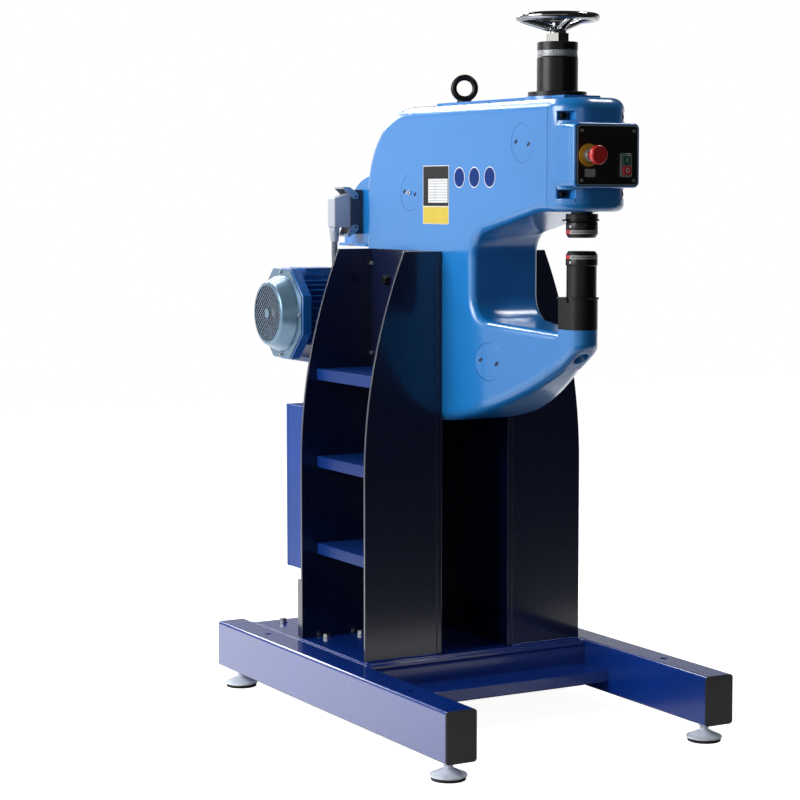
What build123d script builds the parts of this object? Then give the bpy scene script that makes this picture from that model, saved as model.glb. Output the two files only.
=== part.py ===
from build123d import *
import os
from math import asin, cos, hypot, radians, sin

os.makedirs("parts", exist_ok=True)

# Power forming machine on a floor stand, in millimetres.
# X runs to the operator's right, Y from the operator to the back, Z up from the floor.

# Floor frame: two long rails, three cross tubes, a deck and levelling feet
rail_length = 1194.0
rail_height = 120.0
rail_width = 80.0
rail_wall = 5.0
rail_corner = 8.0
rail_spacing = 714.0
rail_bottom = 48.0
rail_rear_y = 637.0
end_cap_thickness = 4.0
end_cap_plug = 18.0
anchor_inset = 222.0
anchor_radius = 9.0
foot_inset = 58.0
foot_pad_radius = 42.5
foot_rubber_radius = 40.0
foot_rubber_height = 8.0
foot_stud_radius = 8.0
cross_tube_depth = 80.0
cross_tube_wall = 5.0
front_overhang = 22.0
rear_tube_setback = 42.0
deck_thickness = 8.0
stand_plate_thickness = 6.0
stand_plate_margin = 14.0
deck_drop = 4.0
brace_depth = 105.0
brace_height = 28.0
brace_drop = 60.0
brace_sheet = 4.0

# Stand: two thick inner walls, curved front and rear plates, folded shelves
stand_front_y = -28.0
stand_depth = 345.0
stand_top = 1167.0
stand_plate = 8.0
wall_thickness = 14.0
plate_outer_x = 312.0
plate_top_x = 203.0
plate_curve_z = 620.0
shelf_edge_x = 268.0
shelf_tops = (863.0, 639.0, 415.0)
shelf_sheet = 3.0
shelf_lip = 29.0
rear_strip_depth = 26.0
back_plate_gap = 5.0
wall_bolt_ys = (60.0, 221.0)
wall_bolt_zs = (820.0, 1088.0)
wall_bolt_radius = 7.0
wall_bolt_across = 22.0
wall_bolt_head = 12.0
wall_washer_radius = 14.0
wall_bolt_grip = 30.0
base_bolt_xs = (150.0, 250.0)
deck_bolt_x = 244.0

# C-frame casting and head cap
casting_width = 192.0
casting_rear_y = 370.0
casting_bottom = 745.0
casting_top = 1523.0
shoulder_radius = 222.0
rear_foot_radius = 120.0
edge_round = 28.0
throat_edge_round = 18.0
nose_round = 18.0
tool_y = -490.0
throat_y = -166.0
throat_radius = 60.0
head_bottom = 1266.0
slope_start_y = -440.0
slope_end_z = 1205.0
jaw_rear_top = 1008.0
jaw_front_top = 981.0
pad_top = 997.0
nose_half = 37.5
nose_straight = 40.0
nose_low_z = 958.0
wall_cast = 22.0
arm_core_y = -200.0
jaw_core_y = -305.0
jaw_core_low = 892.0
belly_y = 75.0
jaw_taper_start_y = -190.0
jaw_taper_blend = 160.0
tool_hole_radius = 17.0
spine_half = 52.0
spine_height = 7.0
spine_rear_y = 78.0
boss_radius = 73.0
boss_height = 7.0
cap_depth = 79.0
cap_corner = 74.0
cap_bolt_x = 77.0
cap_bolt_zs = (1306.0, 1481.0)
cap_bolt_radius = 5.0
cap_bolt_head = 8.0
cap_flange = 32.0
cap_pocket_half = 10.0
cap_pocket_wall = 14.0
cover_radius = 45.0
cover_thickness = 8.0
cover_spots = ((-386.0, 1423.0), (133.0, 1309.0), (-228.0, 909.0))
cover_sink = 1.0
cover_pin = 4.0
nipple_cover = 1

# Rocker drive inside the casting
fulcrum_y = -386.0
fulcrum_z = 1423.0
fulcrum_pin_radius = 15.0
rear_pin_y = 470.0
rear_pin_z = 1197.0
rear_pin_radius = 9.0
rocker_half = 18.0
rocker_hub = 34.0
rocker_nose = 16.0
prong_inner_x = 15.0
prong_outer_x = 27.0
chamber_half = 56.0
chamber_floor = 1365.0
chamber_roof = 1487.0
tunnel_half = 36.0
tunnel_over = 62.0
tunnel_under = 54.0
block_depth = 68.0
block_low = 1378.0
block_high = 1480.0
neck_radius = 28.0
neck_height = 42.0
ram_radius = 25.0
ram_head_radius = 33.0
ram_bottom = 1258.0
bush_radius = 35.0
bush_low = 1268.0
bush_high = 1372.0

# Eccentric, belt drive and motor
shaft_y = 470.0
shaft_z = 1259.0
shaft_radius = 15.0
eccentricity = 6.0
lobe_radius = 24.0
rod_ring_wall = 9.0
rod_web_half = 16.0
lobe_half = 14.0
rod_half = 13.0
rod_eye_play = 18.8
rod_eye_wall = 5.7
bearing_radius = 30.0
bearing_width = 15.0
pulley_radius = 78.0
pulley_x = 32.0
pulley_width = 18.0
motor_pulley_radius = 35.0
belt_thickness = 5.0
belt_gap = 0.4
housing_near_x = -65.0
housing_far_x = 80.0
housing_radius = 96.0
housing_wall = 8.0
housing_step_x = 16.0
cover_round = 160.0
cover_setback = 8.0
cover_round_z = 1195.0
cover_wall = 5.0
housing_bottom = 1170.0
housing_flange_depth = 155.0
motor_y = 511.0
motor_z = 995.0
motor_core_radius = 86.0
motor_fin_radius = 107.0
motor_fin = 3.2
motor_rear_x = 10.0
motor_shield_x = -239.0
motor_shield_half = 118.0
motor_shield_depth = 26.0
motor_face_x = -309.0
motor_face_radius = 79.0
cowl_radius = 102.0
cowl_sheet = 3.0
motor_shaft_radius = 12.0
motor_foot_z = 880.0
bracket_plate = 12.0
bracket_left = -218.0
bracket_right = 18.0
bracket_drop = 90.0
bracket_overhang = 104.0
near_gusset = 95.0
far_gusset = 200.0
motor_foot_reach = 78.0
motor_foot_xs = (-180.0, -62.0)
motor_foot_width = 36.0

# Height adjuster with handwheel
sleeve_radius = 47.5
sleeve_flange_radius = 68.0
sleeve_flange = 11.0
sleeve_height = 92.0
scale_height = 14.0
collar_height = 19.0
collar_radius = 47.0
spindle_radius = 12.0
journal_radius = 14.0
hub_across = 49.0
hub_height = 20.0
wheel_radius = 88.0
wheel_tube = 9.0
wheel_rise = 36.0
eyebolt_y = 28.0
eyebolt_ring = 26.5
eyebolt_wire = 7.5
eyebolt_rise = 37.0
eyebolt_turn = 31.0

# Tools
upper_holder_radius = 37.0
upper_holder_low = 1245.0
upper_holder_wall = 3.5
upper_tool_radius = 36.5
upper_tool_low = 1207.0
lower_tool_top = 1176.5
lower_collar_low = 1143.0
column_radius = 34.5
holder_top = 1071.0
holder_rim = 4.0
rim_overhang = 3.0
clip_reach = 50.0
clip_width = 14.0
holder_notch = 8.0
spigot_radius = 12.0
tool_face_radius = 31.0

# Control box
box_width = 178.0
box_low = 1320.0
box_high = 1465.0
box_front_y = -589.0
box_corner = 14.0
box_rim = 5.0
box_wall = 4.0
panel_width = 164.0
panel_height = 134.0
panel_corner = 9.0
panel_thickness = 2.0
panel_screw_x = 70.5
panel_screw_zs = (1336.4, 1447.2)
estop_x = -52.0
estop_z = 1392.4
estop_disc_radius = 25.5
estop_collar_radius = 14.5
estop_head_radius = 21.5
estop_front_y = -637.0
switch_x = 47.0
switch_z = 1371.0
switch_width = 30.0
switch_height = 53.0
button_width = 22.0
button_height = 20.0

# Connector, conduit and switch cabinet
connector_y = 455.0
connector_thick = 43.0
connector_low = 1202.0
connector_high = 1318.0
connector_base_x = -102.0
hood_low = 1219.0
hood_high = 1308.0
hood_slope = 12.0
hood_round = 5.0
hood_x = -150.0
gland_x = -139.0
gland_radius = 13.0
gland_taper = 2.5
gland_nut = 10.0
gland_height = 37.0
conduit_radius = 9.0
conduit_valley = 7.6
conduit_bore = 5.8
conduit_pitch = 5.3
conduit_front_y = 356.0
cabinet_half = 250.0
cabinet_depth = 188.0
cabinet_low = 325.0
cabinet_high = 755.0
cabinet_sheet = 2.5
door_depth = 14.0
lock_inset = 28.0

# Fits
seat_clearance = 0.03
running_clearance = 0.06
free_clearance = 0.4

sides = (-1, 1)
rail_top = rail_bottom + rail_height
rail_front_y = rail_rear_y - rail_length
rail_inner_x = rail_spacing / 2 - rail_width / 2
tube_length = rail_length - 2 * end_cap_thickness
deck_top = rail_top - deck_drop
cross_top = deck_top - deck_thickness
floor_z = deck_top + stand_plate_thickness
stand_rear_y = stand_front_y + stand_depth
wall_inner_x = casting_width / 2
wall_outer_x = wall_inner_x + wall_thickness
wall_front_y = stand_front_y + stand_plate
wall_rear_y = stand_rear_y - stand_plate
nose_tip_y = tool_y - nose_half
boss_top = casting_top + boss_height
neck_top = boss_top + neck_height
sleeve_top = boss_top + sleeve_height
scale_top = sleeve_top + scale_height
collar_top = scale_top + collar_height
hub_top = collar_top + hub_height
wheel_z = hub_top + wheel_rise
eyebolt_z = casting_top + spine_height + eyebolt_rise
cap_front_y = tool_y - cap_depth
panel_front_y = box_front_y - panel_thickness
drive_slope = (rear_pin_z - fulcrum_z) / (rear_pin_y - fulcrum_y)


def slab(x0, x1, y0, y1, z0, z1, mode=Mode.ADD):
    """A plain block between two opposite corners, in the piece being built."""
    with Locations(((x0 + x1) / 2, (y0 + y1) / 2, (z0 + z1) / 2)):
        Box(x1 - x0, y1 - y0, z1 - z0, mode=mode)


def rod(point, direction, radius, length, mode=Mode.ADD):
    """A round bar that starts at a point and runs along a direction."""
    with Locations(Plane(origin=point, z_dir=direction)):
        Cylinder(radius, length, align=(Align.CENTER, Align.CENTER, Align.MIN), mode=mode)


def taper(point, direction, radius, end_radius, length, mode=Mode.ADD):
    """A round bar whose radius changes evenly along a direction."""
    with Locations(Plane(origin=point, z_dir=direction)):
        Cone(radius, end_radius, length, align=(Align.CENTER, Align.CENTER, Align.MIN), mode=mode)


def hex_bar(point, direction, across, length, mode=Mode.ADD):
    """A hexagon bar that starts at a point and runs along a direction."""
    with BuildSketch(Plane(origin=point, z_dir=direction)) as hexagon:
        RegularPolygon(across / 2, 6, major_radius=False)
    extrude(hexagon.sketch, amount=length, mode=mode)


def nearest(points, u, v):
    """The sketch corner closest to a place."""
    return min(points, key=lambda p: hypot(p.X - u, p.Y - v))


def nose_face(height, grow):
    """Outline of the jaw's nose in plan: a half circle with a straight back."""
    half = nose_half + grow
    back = tool_y + nose_straight + grow
    with BuildSketch(Plane.XY.offset(height)) as nose:
        with BuildLine():
            Polyline((half, tool_y), (half, back), (-half, back), (-half, tool_y))
            RadiusArc((-half, tool_y), (half, tool_y), -half)
        make_face()
    return nose.sketch


def cover_rod(side, spot, shift, radius, depth, length, mode=Mode.ADD):
    """A round bar square to a cover's face, from a depth under it outwards. On the jaw the face leans."""
    y, z = spot[0] + shift[0], spot[1] + shift[1]
    x, slope = casting_width / 2, 0
    if spot[0] < jaw_taper_start_y and spot[1] < pad_top:
        slope = (casting_width / 2 - nose_half) / (jaw_taper_start_y - tool_y - nose_straight)
        x = x - slope * (jaw_taper_start_y - y) - cover_sink
    lean = hypot(1, slope)
    foot = (side * (x - depth / lean), y + depth * slope / lean, z)
    rod(foot, (side / lean, -slope / lean, 0), radius, length, mode)


def plate_face(side, plane):
    """Outline of a stand plate: straight inner edge, outer edge that curves in to the top."""
    rise = stand_top - plate_curve_z
    inset = plate_outer_x - plate_top_x
    radius = (rise**2 + inset**2) / (2 * inset)
    half_turn = asin(rise / radius) / 2
    mid_x = plate_outer_x - radius * (1 - cos(half_turn))
    mid_z = plate_curve_z + radius * sin(half_turn)
    with BuildSketch(plane) as plate:
        with BuildLine():
            Polyline(
                (side * plate_top_x, stand_top),
                (side * wall_outer_x, stand_top),
                (side * wall_outer_x, floor_z),
                (side * plate_outer_x, floor_z),
                (side * plate_outer_x, plate_curve_z),
            )
            ThreePointArc(
                (side * plate_outer_x, plate_curve_z),
                (side * mid_x, mid_z),
                (side * plate_top_x, stand_top),
            )
        make_face()
    return plate.sketch


# Floor frame
anchor_ys = (rail_front_y + anchor_inset, rail_rear_y - anchor_inset)
foot_ys = (rail_front_y + foot_inset, rail_rear_y - foot_inset)
foot_spots = [(side * rail_spacing / 2, y) for side in sides for y in foot_ys]
front_tube_y = stand_front_y - front_overhang
rear_tube_y = rail_rear_y - rear_tube_setback - cross_tube_depth
bolt_radius = 6.0
bolt_across = 18.0
bolt_head = 8.0
washer_radius = 12.0
washer_thickness = 2.5
base_bolt_ys = (wall_front_y + 20.0, wall_rear_y - 18.0)
middle_tube_y = base_bolt_ys[1] - cross_tube_depth / 2
base_bolts = [(side * x, y) for side in sides for x in base_bolt_xs for y in base_bolt_ys]
deck_bolts = [(side * deck_bolt_x, rear_tube_y + cross_tube_depth / 2) for side in sides]

with BuildPart() as side_rails:
    for side in sides:
        with BuildSketch(Plane.XZ.offset(end_cap_thickness - rail_rear_y)):
            with Locations((side * rail_spacing / 2, rail_bottom + rail_height / 2)):
                RectangleRounded(rail_width, rail_height, rail_corner)
                RectangleRounded(
                    rail_width - 2 * rail_wall,
                    rail_height - 2 * rail_wall,
                    rail_corner - rail_wall,
                    mode=Mode.SUBTRACT,
                )
        extrude(amount=tube_length)
        for y in anchor_ys:
            hole = (side * rail_spacing / 2, y, rail_bottom - 1)
            rod(hole, (0, 0, 1), anchor_radius, rail_height + 2, Mode.SUBTRACT)
    for x, y in foot_spots:
        stud_hole = foot_stud_radius + running_clearance
        rod((x, y, rail_bottom - 1), (0, 0, 1), stud_hole, rail_wall + 2, Mode.SUBTRACT)
side_rails.part.label = "side_rails"
export_step(side_rails.part, "parts/side_rails.step")

with BuildPart() as rail_end_caps:
    for side in sides:
        for end_y, inward in ((rail_front_y, 1), (rail_rear_y, -1)):
            with BuildSketch(Plane((side * rail_spacing / 2, end_y, rail_bottom + rail_height / 2),
                                   x_dir=(1, 0, 0), z_dir=(0, inward, 0))):
                RectangleRounded(rail_width, rail_height, rail_corner)
            extrude(amount=end_cap_thickness)
            plug_width = rail_width - 2 * rail_wall - 2 * free_clearance
            plug_height = rail_height - 2 * rail_wall - 2 * free_clearance
            with BuildSketch(Plane((side * rail_spacing / 2, end_y, rail_bottom + rail_height / 2),
                                   x_dir=(1, 0, 0), z_dir=(0, inward, 0))):
                RectangleRounded(plug_width, plug_height, rail_corner - rail_wall)
                Rectangle(plug_width - 8, plug_height - 8, mode=Mode.SUBTRACT)
            extrude(amount=end_cap_thickness + end_cap_plug)
rail_end_caps.part.label = "rail_end_caps"
export_step(rail_end_caps.part, "parts/rail_end_caps.step")

with BuildPart() as foot_pads:
    for x, y in foot_spots:
        low = foot_rubber_height
        rod((x, y, low), (0, 0, 1), foot_pad_radius, 5)
        taper((x, y, low + 5), (0, 0, 1), foot_pad_radius - 2, 13, 13)
        rod((x, y, low + 18), (0, 0, 1), 11, 5)
        rod((x, y, low + 20), (0, 0, 1), foot_stud_radius, rail_bottom + 45 - low - 20)
        hex_bar((x, y, rail_bottom - 13), (0, 0, 1), 24, 13)
foot_pads.part.label = "foot_pads"
export_step(foot_pads.part, "parts/foot_pads.step")

with BuildPart() as foot_rubbers:
    for x, y in foot_spots:
        rod((x, y, 0), (0, 0, 1), foot_rubber_radius, foot_rubber_height)
foot_rubbers.part.label = "foot_rubbers"
export_step(foot_rubbers.part, "parts/foot_rubbers.step")

with BuildPart() as cross_tubes:
    for y0 in (front_tube_y, middle_tube_y, rear_tube_y):
        tube_height = cross_top - rail_bottom
        with BuildSketch(Plane.YZ):
            with Locations((y0 + cross_tube_depth / 2, rail_bottom + tube_height / 2)):
                RectangleRounded(cross_tube_depth, tube_height, rail_corner)
                RectangleRounded(
                    cross_tube_depth - 2 * cross_tube_wall,
                    tube_height - 2 * cross_tube_wall,
                    rail_corner - cross_tube_wall,
                    mode=Mode.SUBTRACT,
                )
        extrude(amount=rail_inner_x, both=True)
    for x, y in base_bolts + deck_bolts:
        hole = (x, y, cross_top - cross_tube_wall - 1)
        rod(hole, (0, 0, 1), bolt_radius + free_clearance, cross_tube_wall + 2, Mode.SUBTRACT)
cross_tubes.part.label = "cross_tubes"
export_step(cross_tubes.part, "parts/cross_tubes.step")

with BuildPart() as front_brace:
    brace_top = rail_top - brace_drop
    slab(-rail_inner_x, rail_inner_x, front_tube_y - brace_depth, front_tube_y,
         brace_top - brace_height, brace_top)
    slab(-rail_inner_x, rail_inner_x, front_tube_y - brace_depth + brace_sheet,
         front_tube_y - brace_sheet, brace_top - brace_height - 1, brace_top - brace_sheet, Mode.SUBTRACT)
front_brace.part.label = "front_brace"
export_step(front_brace.part, "parts/front_brace.step")

with BuildPart() as base_plate:
    slab(-rail_inner_x, rail_inner_x, front_tube_y, rear_tube_y + cross_tube_depth, cross_top, deck_top)
    with BuildSketch(Plane.XY.offset(deck_top)):
        with Locations((0, stand_front_y + stand_depth / 2)):
            RectangleRounded(2 * plate_outer_x + 6, stand_depth + 2 * stand_plate_margin, 16)
    extrude(amount=stand_plate_thickness)
    for x, y in base_bolts + deck_bolts:
        rod((x, y, cross_top - 1), (0, 0, 1), bolt_radius + free_clearance, 40, Mode.SUBTRACT)
base_plate.part.label = "base_plate"
export_step(base_plate.part, "parts/base_plate.step")

# Stand
wall_bolt_spots = [(y, z) for y in wall_bolt_ys for z in wall_bolt_zs]
bay_screws = [(wall_rear_y - 6.0, z) for z in (899.0, 1130.0)]

with BuildPart() as inner_walls:
    for side in sides:
        slab(min(side * wall_inner_x, side * wall_outer_x), max(side * wall_inner_x, side * wall_outer_x),
             stand_front_y, stand_rear_y, floor_z, stand_top)
        for y, z in wall_bolt_spots:
            rod((side * (wall_inner_x - 1), y, z), (side, 0, 0), wall_bolt_radius + free_clearance,
                wall_thickness + 2, Mode.SUBTRACT)
inner_walls.part.label = "inner_walls"
export_step(inner_walls.part, "parts/inner_walls.step")

with BuildPart() as front_plates:
    for side in sides:
        extrude(plate_face(side, Plane.XZ.offset(-wall_front_y)), amount=stand_plate)
front_plates.part.label = "front_plates"
export_step(front_plates.part, "parts/front_plates.step")

with BuildPart() as rear_plates:
    for side in sides:
        extrude(plate_face(side, Plane.XZ.offset(-stand_rear_y)), amount=stand_plate)
        strip_x = sorted((side * plate_outer_x, side * (plate_outer_x - stand_plate)))
        slab(strip_x[0], strip_x[1], stand_rear_y - 1, stand_rear_y + rear_strip_depth - stand_plate,
             floor_z, cabinet_low - 4)
    slab(-wall_inner_x, wall_inner_x, wall_rear_y, stand_rear_y, floor_z, casting_bottom - back_plate_gap)
rear_plates.part.label = "rear_plates"
export_step(rear_plates.part, "parts/rear_plates.step")

with BuildPart() as shelves:
    for side in sides:
        for top in shelf_tops:
            with BuildSketch(Plane.XZ.offset(-wall_rear_y)) as shelf:
                with BuildLine():
                    Polyline(
                        (side * wall_outer_x, top),
                        (side * shelf_edge_x, top),
                        (side * shelf_edge_x, top - shelf_lip),
                        (side * (shelf_edge_x - 14), top - shelf_lip),
                        (side * (shelf_edge_x - 14), top - shelf_lip + shelf_sheet),
                        (side * (shelf_edge_x - shelf_sheet), top - shelf_lip + shelf_sheet),
                        (side * (shelf_edge_x - shelf_sheet), top - shelf_sheet),
                        (side * wall_outer_x, top - shelf_sheet),
                        close=True,
                    )
                make_face()
                fillet(nearest(shelf.vertices(), side * shelf_edge_x, top), shelf_sheet - 0.5)
                fillet(nearest(shelf.vertices(), side * shelf_edge_x, top - shelf_lip), shelf_sheet - 0.5)
            extrude(amount=wall_rear_y - wall_front_y)
shelves.part.label = "shelves"
export_step(shelves.part, "parts/shelves.step")

with BuildPart() as frame_bolts:
    for x, y in base_bolts:
        rod((x, y, floor_z), (0, 0, 1), washer_radius, washer_thickness)
        hex_bar((x, y, floor_z), (0, 0, 1), bolt_across, washer_thickness + bolt_head)
        rod((x, y, cross_top - 20), (0, 0, 1), bolt_radius, floor_z - cross_top + 21)
    for x, y in deck_bolts:
        rod((x, y, deck_top), (0, 0, 1), washer_radius, washer_thickness)
        hex_bar((x, y, deck_top), (0, 0, 1), bolt_across, washer_thickness + bolt_head)
        rod((x, y, cross_top - 20), (0, 0, 1), bolt_radius, deck_top - cross_top + 21)
    for side in sides:
        for y, z in wall_bolt_spots:
            seat = (side * wall_outer_x, y, z)
            rod(seat, (side, 0, 0), wall_washer_radius, washer_thickness)
            hex_bar(seat, (side, 0, 0), wall_bolt_across, washer_thickness + wall_bolt_head)
            rod((side * (wall_inner_x - wall_bolt_grip), y, z), (side, 0, 0), wall_bolt_radius,
                wall_bolt_grip + wall_thickness + 1)
frame_bolts.part.label = "frame_bolts"
export_step(frame_bolts.part, "parts/frame_bolts.step")

# C-frame casting
belly_rise = nose_low_z - casting_bottom
belly_run = belly_y - nose_tip_y
belly_radius = (belly_run**2 + belly_rise**2) / (2 * belly_rise)
nose_over = 16.0


def belly_point(turn):
    """A place on the long curve under the jaw, by its angle from the flat bottom."""
    return (belly_y - belly_radius * sin(turn), casting_bottom + belly_radius * (1 - cos(turn)))


def rocker_line(y):
    """Height of the rocker's centre line, from the fulcrum down to the rear pin."""
    return fulcrum_z + drive_slope * (y - fulcrum_y)


belly_turn = asin((belly_run + nose_over) / belly_radius)
belly_y_z = belly_point(asin((belly_y - throat_y) / belly_radius))[1]
half_w = casting_width / 2
core_nose = nose_half - 0.8

with BuildPart() as jaw_nose:
    extrude(nose_face(casting_bottom, 0), amount=pad_top - casting_bottom)
    with BuildSketch(Plane.YZ):
        with BuildLine():
            ThreePointArc(belly_point(belly_turn), belly_point(belly_turn / 2), belly_point(0))
            Polyline(belly_point(0), (belly_y, pad_top + 1), (nose_tip_y - nose_over, pad_top + 1),
                     belly_point(belly_turn))
        make_face()
    extrude(amount=half_w, both=True, mode=Mode.INTERSECT)
    under = [e for e in jaw_nose.edges()
             if e.bounding_box().max.Z < pad_top - 5 and e.bounding_box().size.Y > 1]
    fillet(under, nose_round)

with BuildPart() as c_frame:
    with BuildSketch(Plane.YZ) as casting_outline:
        with BuildLine():
            ThreePointArc(belly_point(belly_turn), belly_point(belly_turn / 2), belly_point(0))
            Polyline(
                belly_point(0),
                (casting_rear_y, casting_bottom),
                (casting_rear_y, casting_top),
                (tool_y, casting_top),
                (tool_y, head_bottom),
                (slope_start_y, head_bottom),
                (throat_y, slope_end_z),
                (throat_y, jaw_rear_top),
                (nose_tip_y - nose_over, jaw_front_top),
                belly_point(belly_turn),
            )
        make_face()
        fillet(nearest(casting_outline.vertices(), casting_rear_y, casting_bottom), rear_foot_radius)
        fillet(nearest(casting_outline.vertices(), casting_rear_y, casting_top), shoulder_radius)
        fillet(nearest(casting_outline.vertices(), slope_start_y, head_bottom), 150)
        fillet(nearest(casting_outline.vertices(), throat_y, slope_end_z), throat_radius)
        fillet(nearest(casting_outline.vertices(), throat_y, jaw_rear_top), throat_radius)
    extrude(amount=half_w, both=True)
    # The jaw narrows in plan to the round nose
    taper_end_y = tool_y + nose_straight
    blend_y = jaw_taper_start_y + jaw_taper_blend / 4
    with BuildSketch(Plane.XY.offset(casting_bottom - 5), mode=Mode.PRIVATE) as jaw_plan:
        with BuildLine():
            Polyline((core_nose, tool_y), (core_nose, taper_end_y), (half_w, jaw_taper_start_y),
                     (half_w, blend_y), (-half_w, blend_y), (-half_w, jaw_taper_start_y),
                     (-core_nose, taper_end_y), (-core_nose, tool_y))
            RadiusArc((-core_nose, tool_y), (core_nose, tool_y), -core_nose)
        make_face()
        for side in sides:
            fillet(nearest(jaw_plan.vertices(), side * half_w, jaw_taper_start_y), jaw_taper_blend)
            fillet(nearest(jaw_plan.vertices(), side * core_nose, taper_end_y), jaw_taper_blend)
    with BuildSketch(Plane.XY.offset(casting_bottom - 5)):
        with Locations((0, blend_y)):
            Rectangle(2 * casting_width, blend_y - nose_tip_y + nose_half, align=(Align.CENTER, Align.MAX))
        add(jaw_plan.sketch_local, mode=Mode.SUBTRACT)
    extrude(amount=jaw_rear_top + 40 - casting_bottom, mode=Mode.SUBTRACT)
    outline_edges = []
    throat_edges = []
    for edge in c_frame.edges():
        box = edge.bounding_box()
        across = box.size.Y < 0.01 and box.size.Z < 0.01
        upright = box.size.X < 0.01 and box.size.Y < 0.01
        on_seam = box.size.Y < 0.01 and abs(box.max.Y - tool_y) < 0.01 and box.min.Z > head_bottom - 1
        on_jaw = box.max.Z < jaw_rear_top + 20 and box.max.Y < throat_y
        in_throat = box.max.Y < throat_y + 1 and box.min.Z > jaw_front_top - 1 and box.max.Z < casting_top - 1
        if across or on_seam or (upright and on_jaw):
            continue
        if in_throat:
            throat_edges.append(edge)
        else:
            outline_edges.append(edge)
    fillet(outline_edges, edge_round)
    fillet(throat_edges, throat_edge_round)
    add(jaw_nose.part)
    # Raised spine along the top, and the round boss of the adjuster
    with BuildSketch(Plane.XY.offset(casting_top - 10)):
        with Locations((0, (spine_rear_y + tool_y) / 2)):
            Rectangle(2 * spine_half, spine_rear_y - tool_y)
    extrude(amount=10 + spine_height, taper=8)
    rod((0, fulcrum_y, casting_top - 10), (0, 0, 1), boss_radius, boss_height + 10)
    # Chamber for the fulcrum block, channel for the rocker, seats for bush and neck
    slab(-chamber_half, chamber_half, tool_y - 1, fulcrum_y + block_depth / 2 + 42,
         chamber_floor, chamber_roof, Mode.SUBTRACT)
    tunnel_y0 = fulcrum_y + block_depth / 2 + 20
    tunnel_y1 = casting_rear_y + 1
    with BuildSketch(Plane.YZ):
        with BuildLine():
            Polyline((tunnel_y0, rocker_line(tunnel_y0) - tunnel_under),
                     (tunnel_y1, rocker_line(tunnel_y1) - tunnel_under),
                     (tunnel_y1, rocker_line(tunnel_y1) + tunnel_over),
                     (tunnel_y0, rocker_line(tunnel_y0) + tunnel_over), close=True)
        make_face()
    extrude(amount=tunnel_half, both=True, mode=Mode.SUBTRACT)
    # Cores that leave a wall all round: column, upper arm and jaw
    with BuildSketch(Plane.YZ):
        with BuildLine():
            Polyline((throat_y + wall_cast, belly_y_z + 2 * wall_cast), (belly_y, casting_bottom + wall_cast),
                     (casting_rear_y - 3 * wall_cast, casting_bottom + wall_cast),
                     (casting_rear_y - wall_cast, casting_bottom + 3 * wall_cast),
                     (casting_rear_y - wall_cast, rocker_line(casting_rear_y) - tunnel_under - wall_cast),
                     (throat_y + wall_cast, rocker_line(throat_y) - tunnel_under - wall_cast), close=True)
        make_face()
    extrude(amount=half_w - wall_cast, both=True, mode=Mode.SUBTRACT)
    with BuildSketch(Plane.YZ):
        with BuildLine():
            Polyline((arm_core_y, rocker_line(arm_core_y) + tunnel_over - 20),
                     (casting_rear_y - 1.3 * wall_cast, rocker_line(casting_rear_y) + tunnel_over - 20),
                     (casting_rear_y - 1.3 * wall_cast, casting_top - shoulder_radius + 30),
                     (casting_rear_y - 0.48 * shoulder_radius, casting_top - 0.48 * shoulder_radius),
                     (casting_rear_y - shoulder_radius, casting_top - 1.5 * wall_cast),
                     (arm_core_y, casting_top - 1.5 * wall_cast), close=True)
        make_face()
    extrude(amount=half_w - wall_cast, both=True, mode=Mode.SUBTRACT)
    with BuildSketch(Plane.YZ):
        with BuildLine():
            Polyline((jaw_core_y, jaw_core_low), (throat_y + 2 * wall_cast, belly_y_z + 2 * wall_cast),
                     (throat_y + 2 * wall_cast, jaw_rear_top - 1.5 * wall_cast),
                     (jaw_core_y, jaw_rear_top - 1.6 * wall_cast), close=True)
        make_face()
    extrude(amount=half_w / 2, both=True, mode=Mode.SUBTRACT)
    rod((0, tool_y, head_bottom - 1), (0, 0, 1), bush_radius + seat_clearance,
        chamber_floor - head_bottom + 2, Mode.SUBTRACT)
    rod((0, fulcrum_y, chamber_roof - 1), (0, 0, 1), neck_radius + free_clearance,
        boss_top - chamber_roof + 2, Mode.SUBTRACT)
    rod((0, tool_y, casting_bottom), (0, 0, 1), tool_hole_radius, pad_top - casting_bottom + 1, Mode.SUBTRACT)
    # Round seats of the side covers, with the openings behind them
    for side in sides:
        for y, z in cover_spots:
            cover_rod(side, (y, z), (0, 0), cover_radius + free_clearance, cover_thickness,
                      2 * cover_thickness, Mode.SUBTRACT)
            rod((side * tunnel_half, y, z), (side, 0, 0), cover_radius - 7,
                half_w - tunnel_half, Mode.SUBTRACT)
        for y, z in wall_bolt_spots:
            rod((side * (half_w - wall_bolt_grip - 2), y, z), (side, 0, 0),
                wall_bolt_radius + running_clearance, wall_bolt_grip + 3, Mode.SUBTRACT)
        for z in cap_bolt_zs:
            rod((side * cap_bolt_x, tool_y - 1, z), (0, 1, 0), cap_bolt_radius + running_clearance,
                40, Mode.SUBTRACT)
    rod((0, eyebolt_y, casting_top + spine_height - 42), (0, 0, 1), 10 + running_clearance, 60, Mode.SUBTRACT)
c_frame.part.label = "c_frame"
export_step(c_frame.part, "parts/c_frame.step")

with BuildPart() as cap_block:
    with BuildSketch(Plane.XY.offset(box_low)):
        with BuildLine():
            Polyline((half_w, tool_y), (-half_w, tool_y), (-box_width / 2, cap_front_y),
                     (box_width / 2, cap_front_y), close=True)
        make_face()
    extrude(amount=box_high - box_low)
    fillet([e for e in cap_block.edges() if e.bounding_box().size.Y > 1], box_corner)

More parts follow.
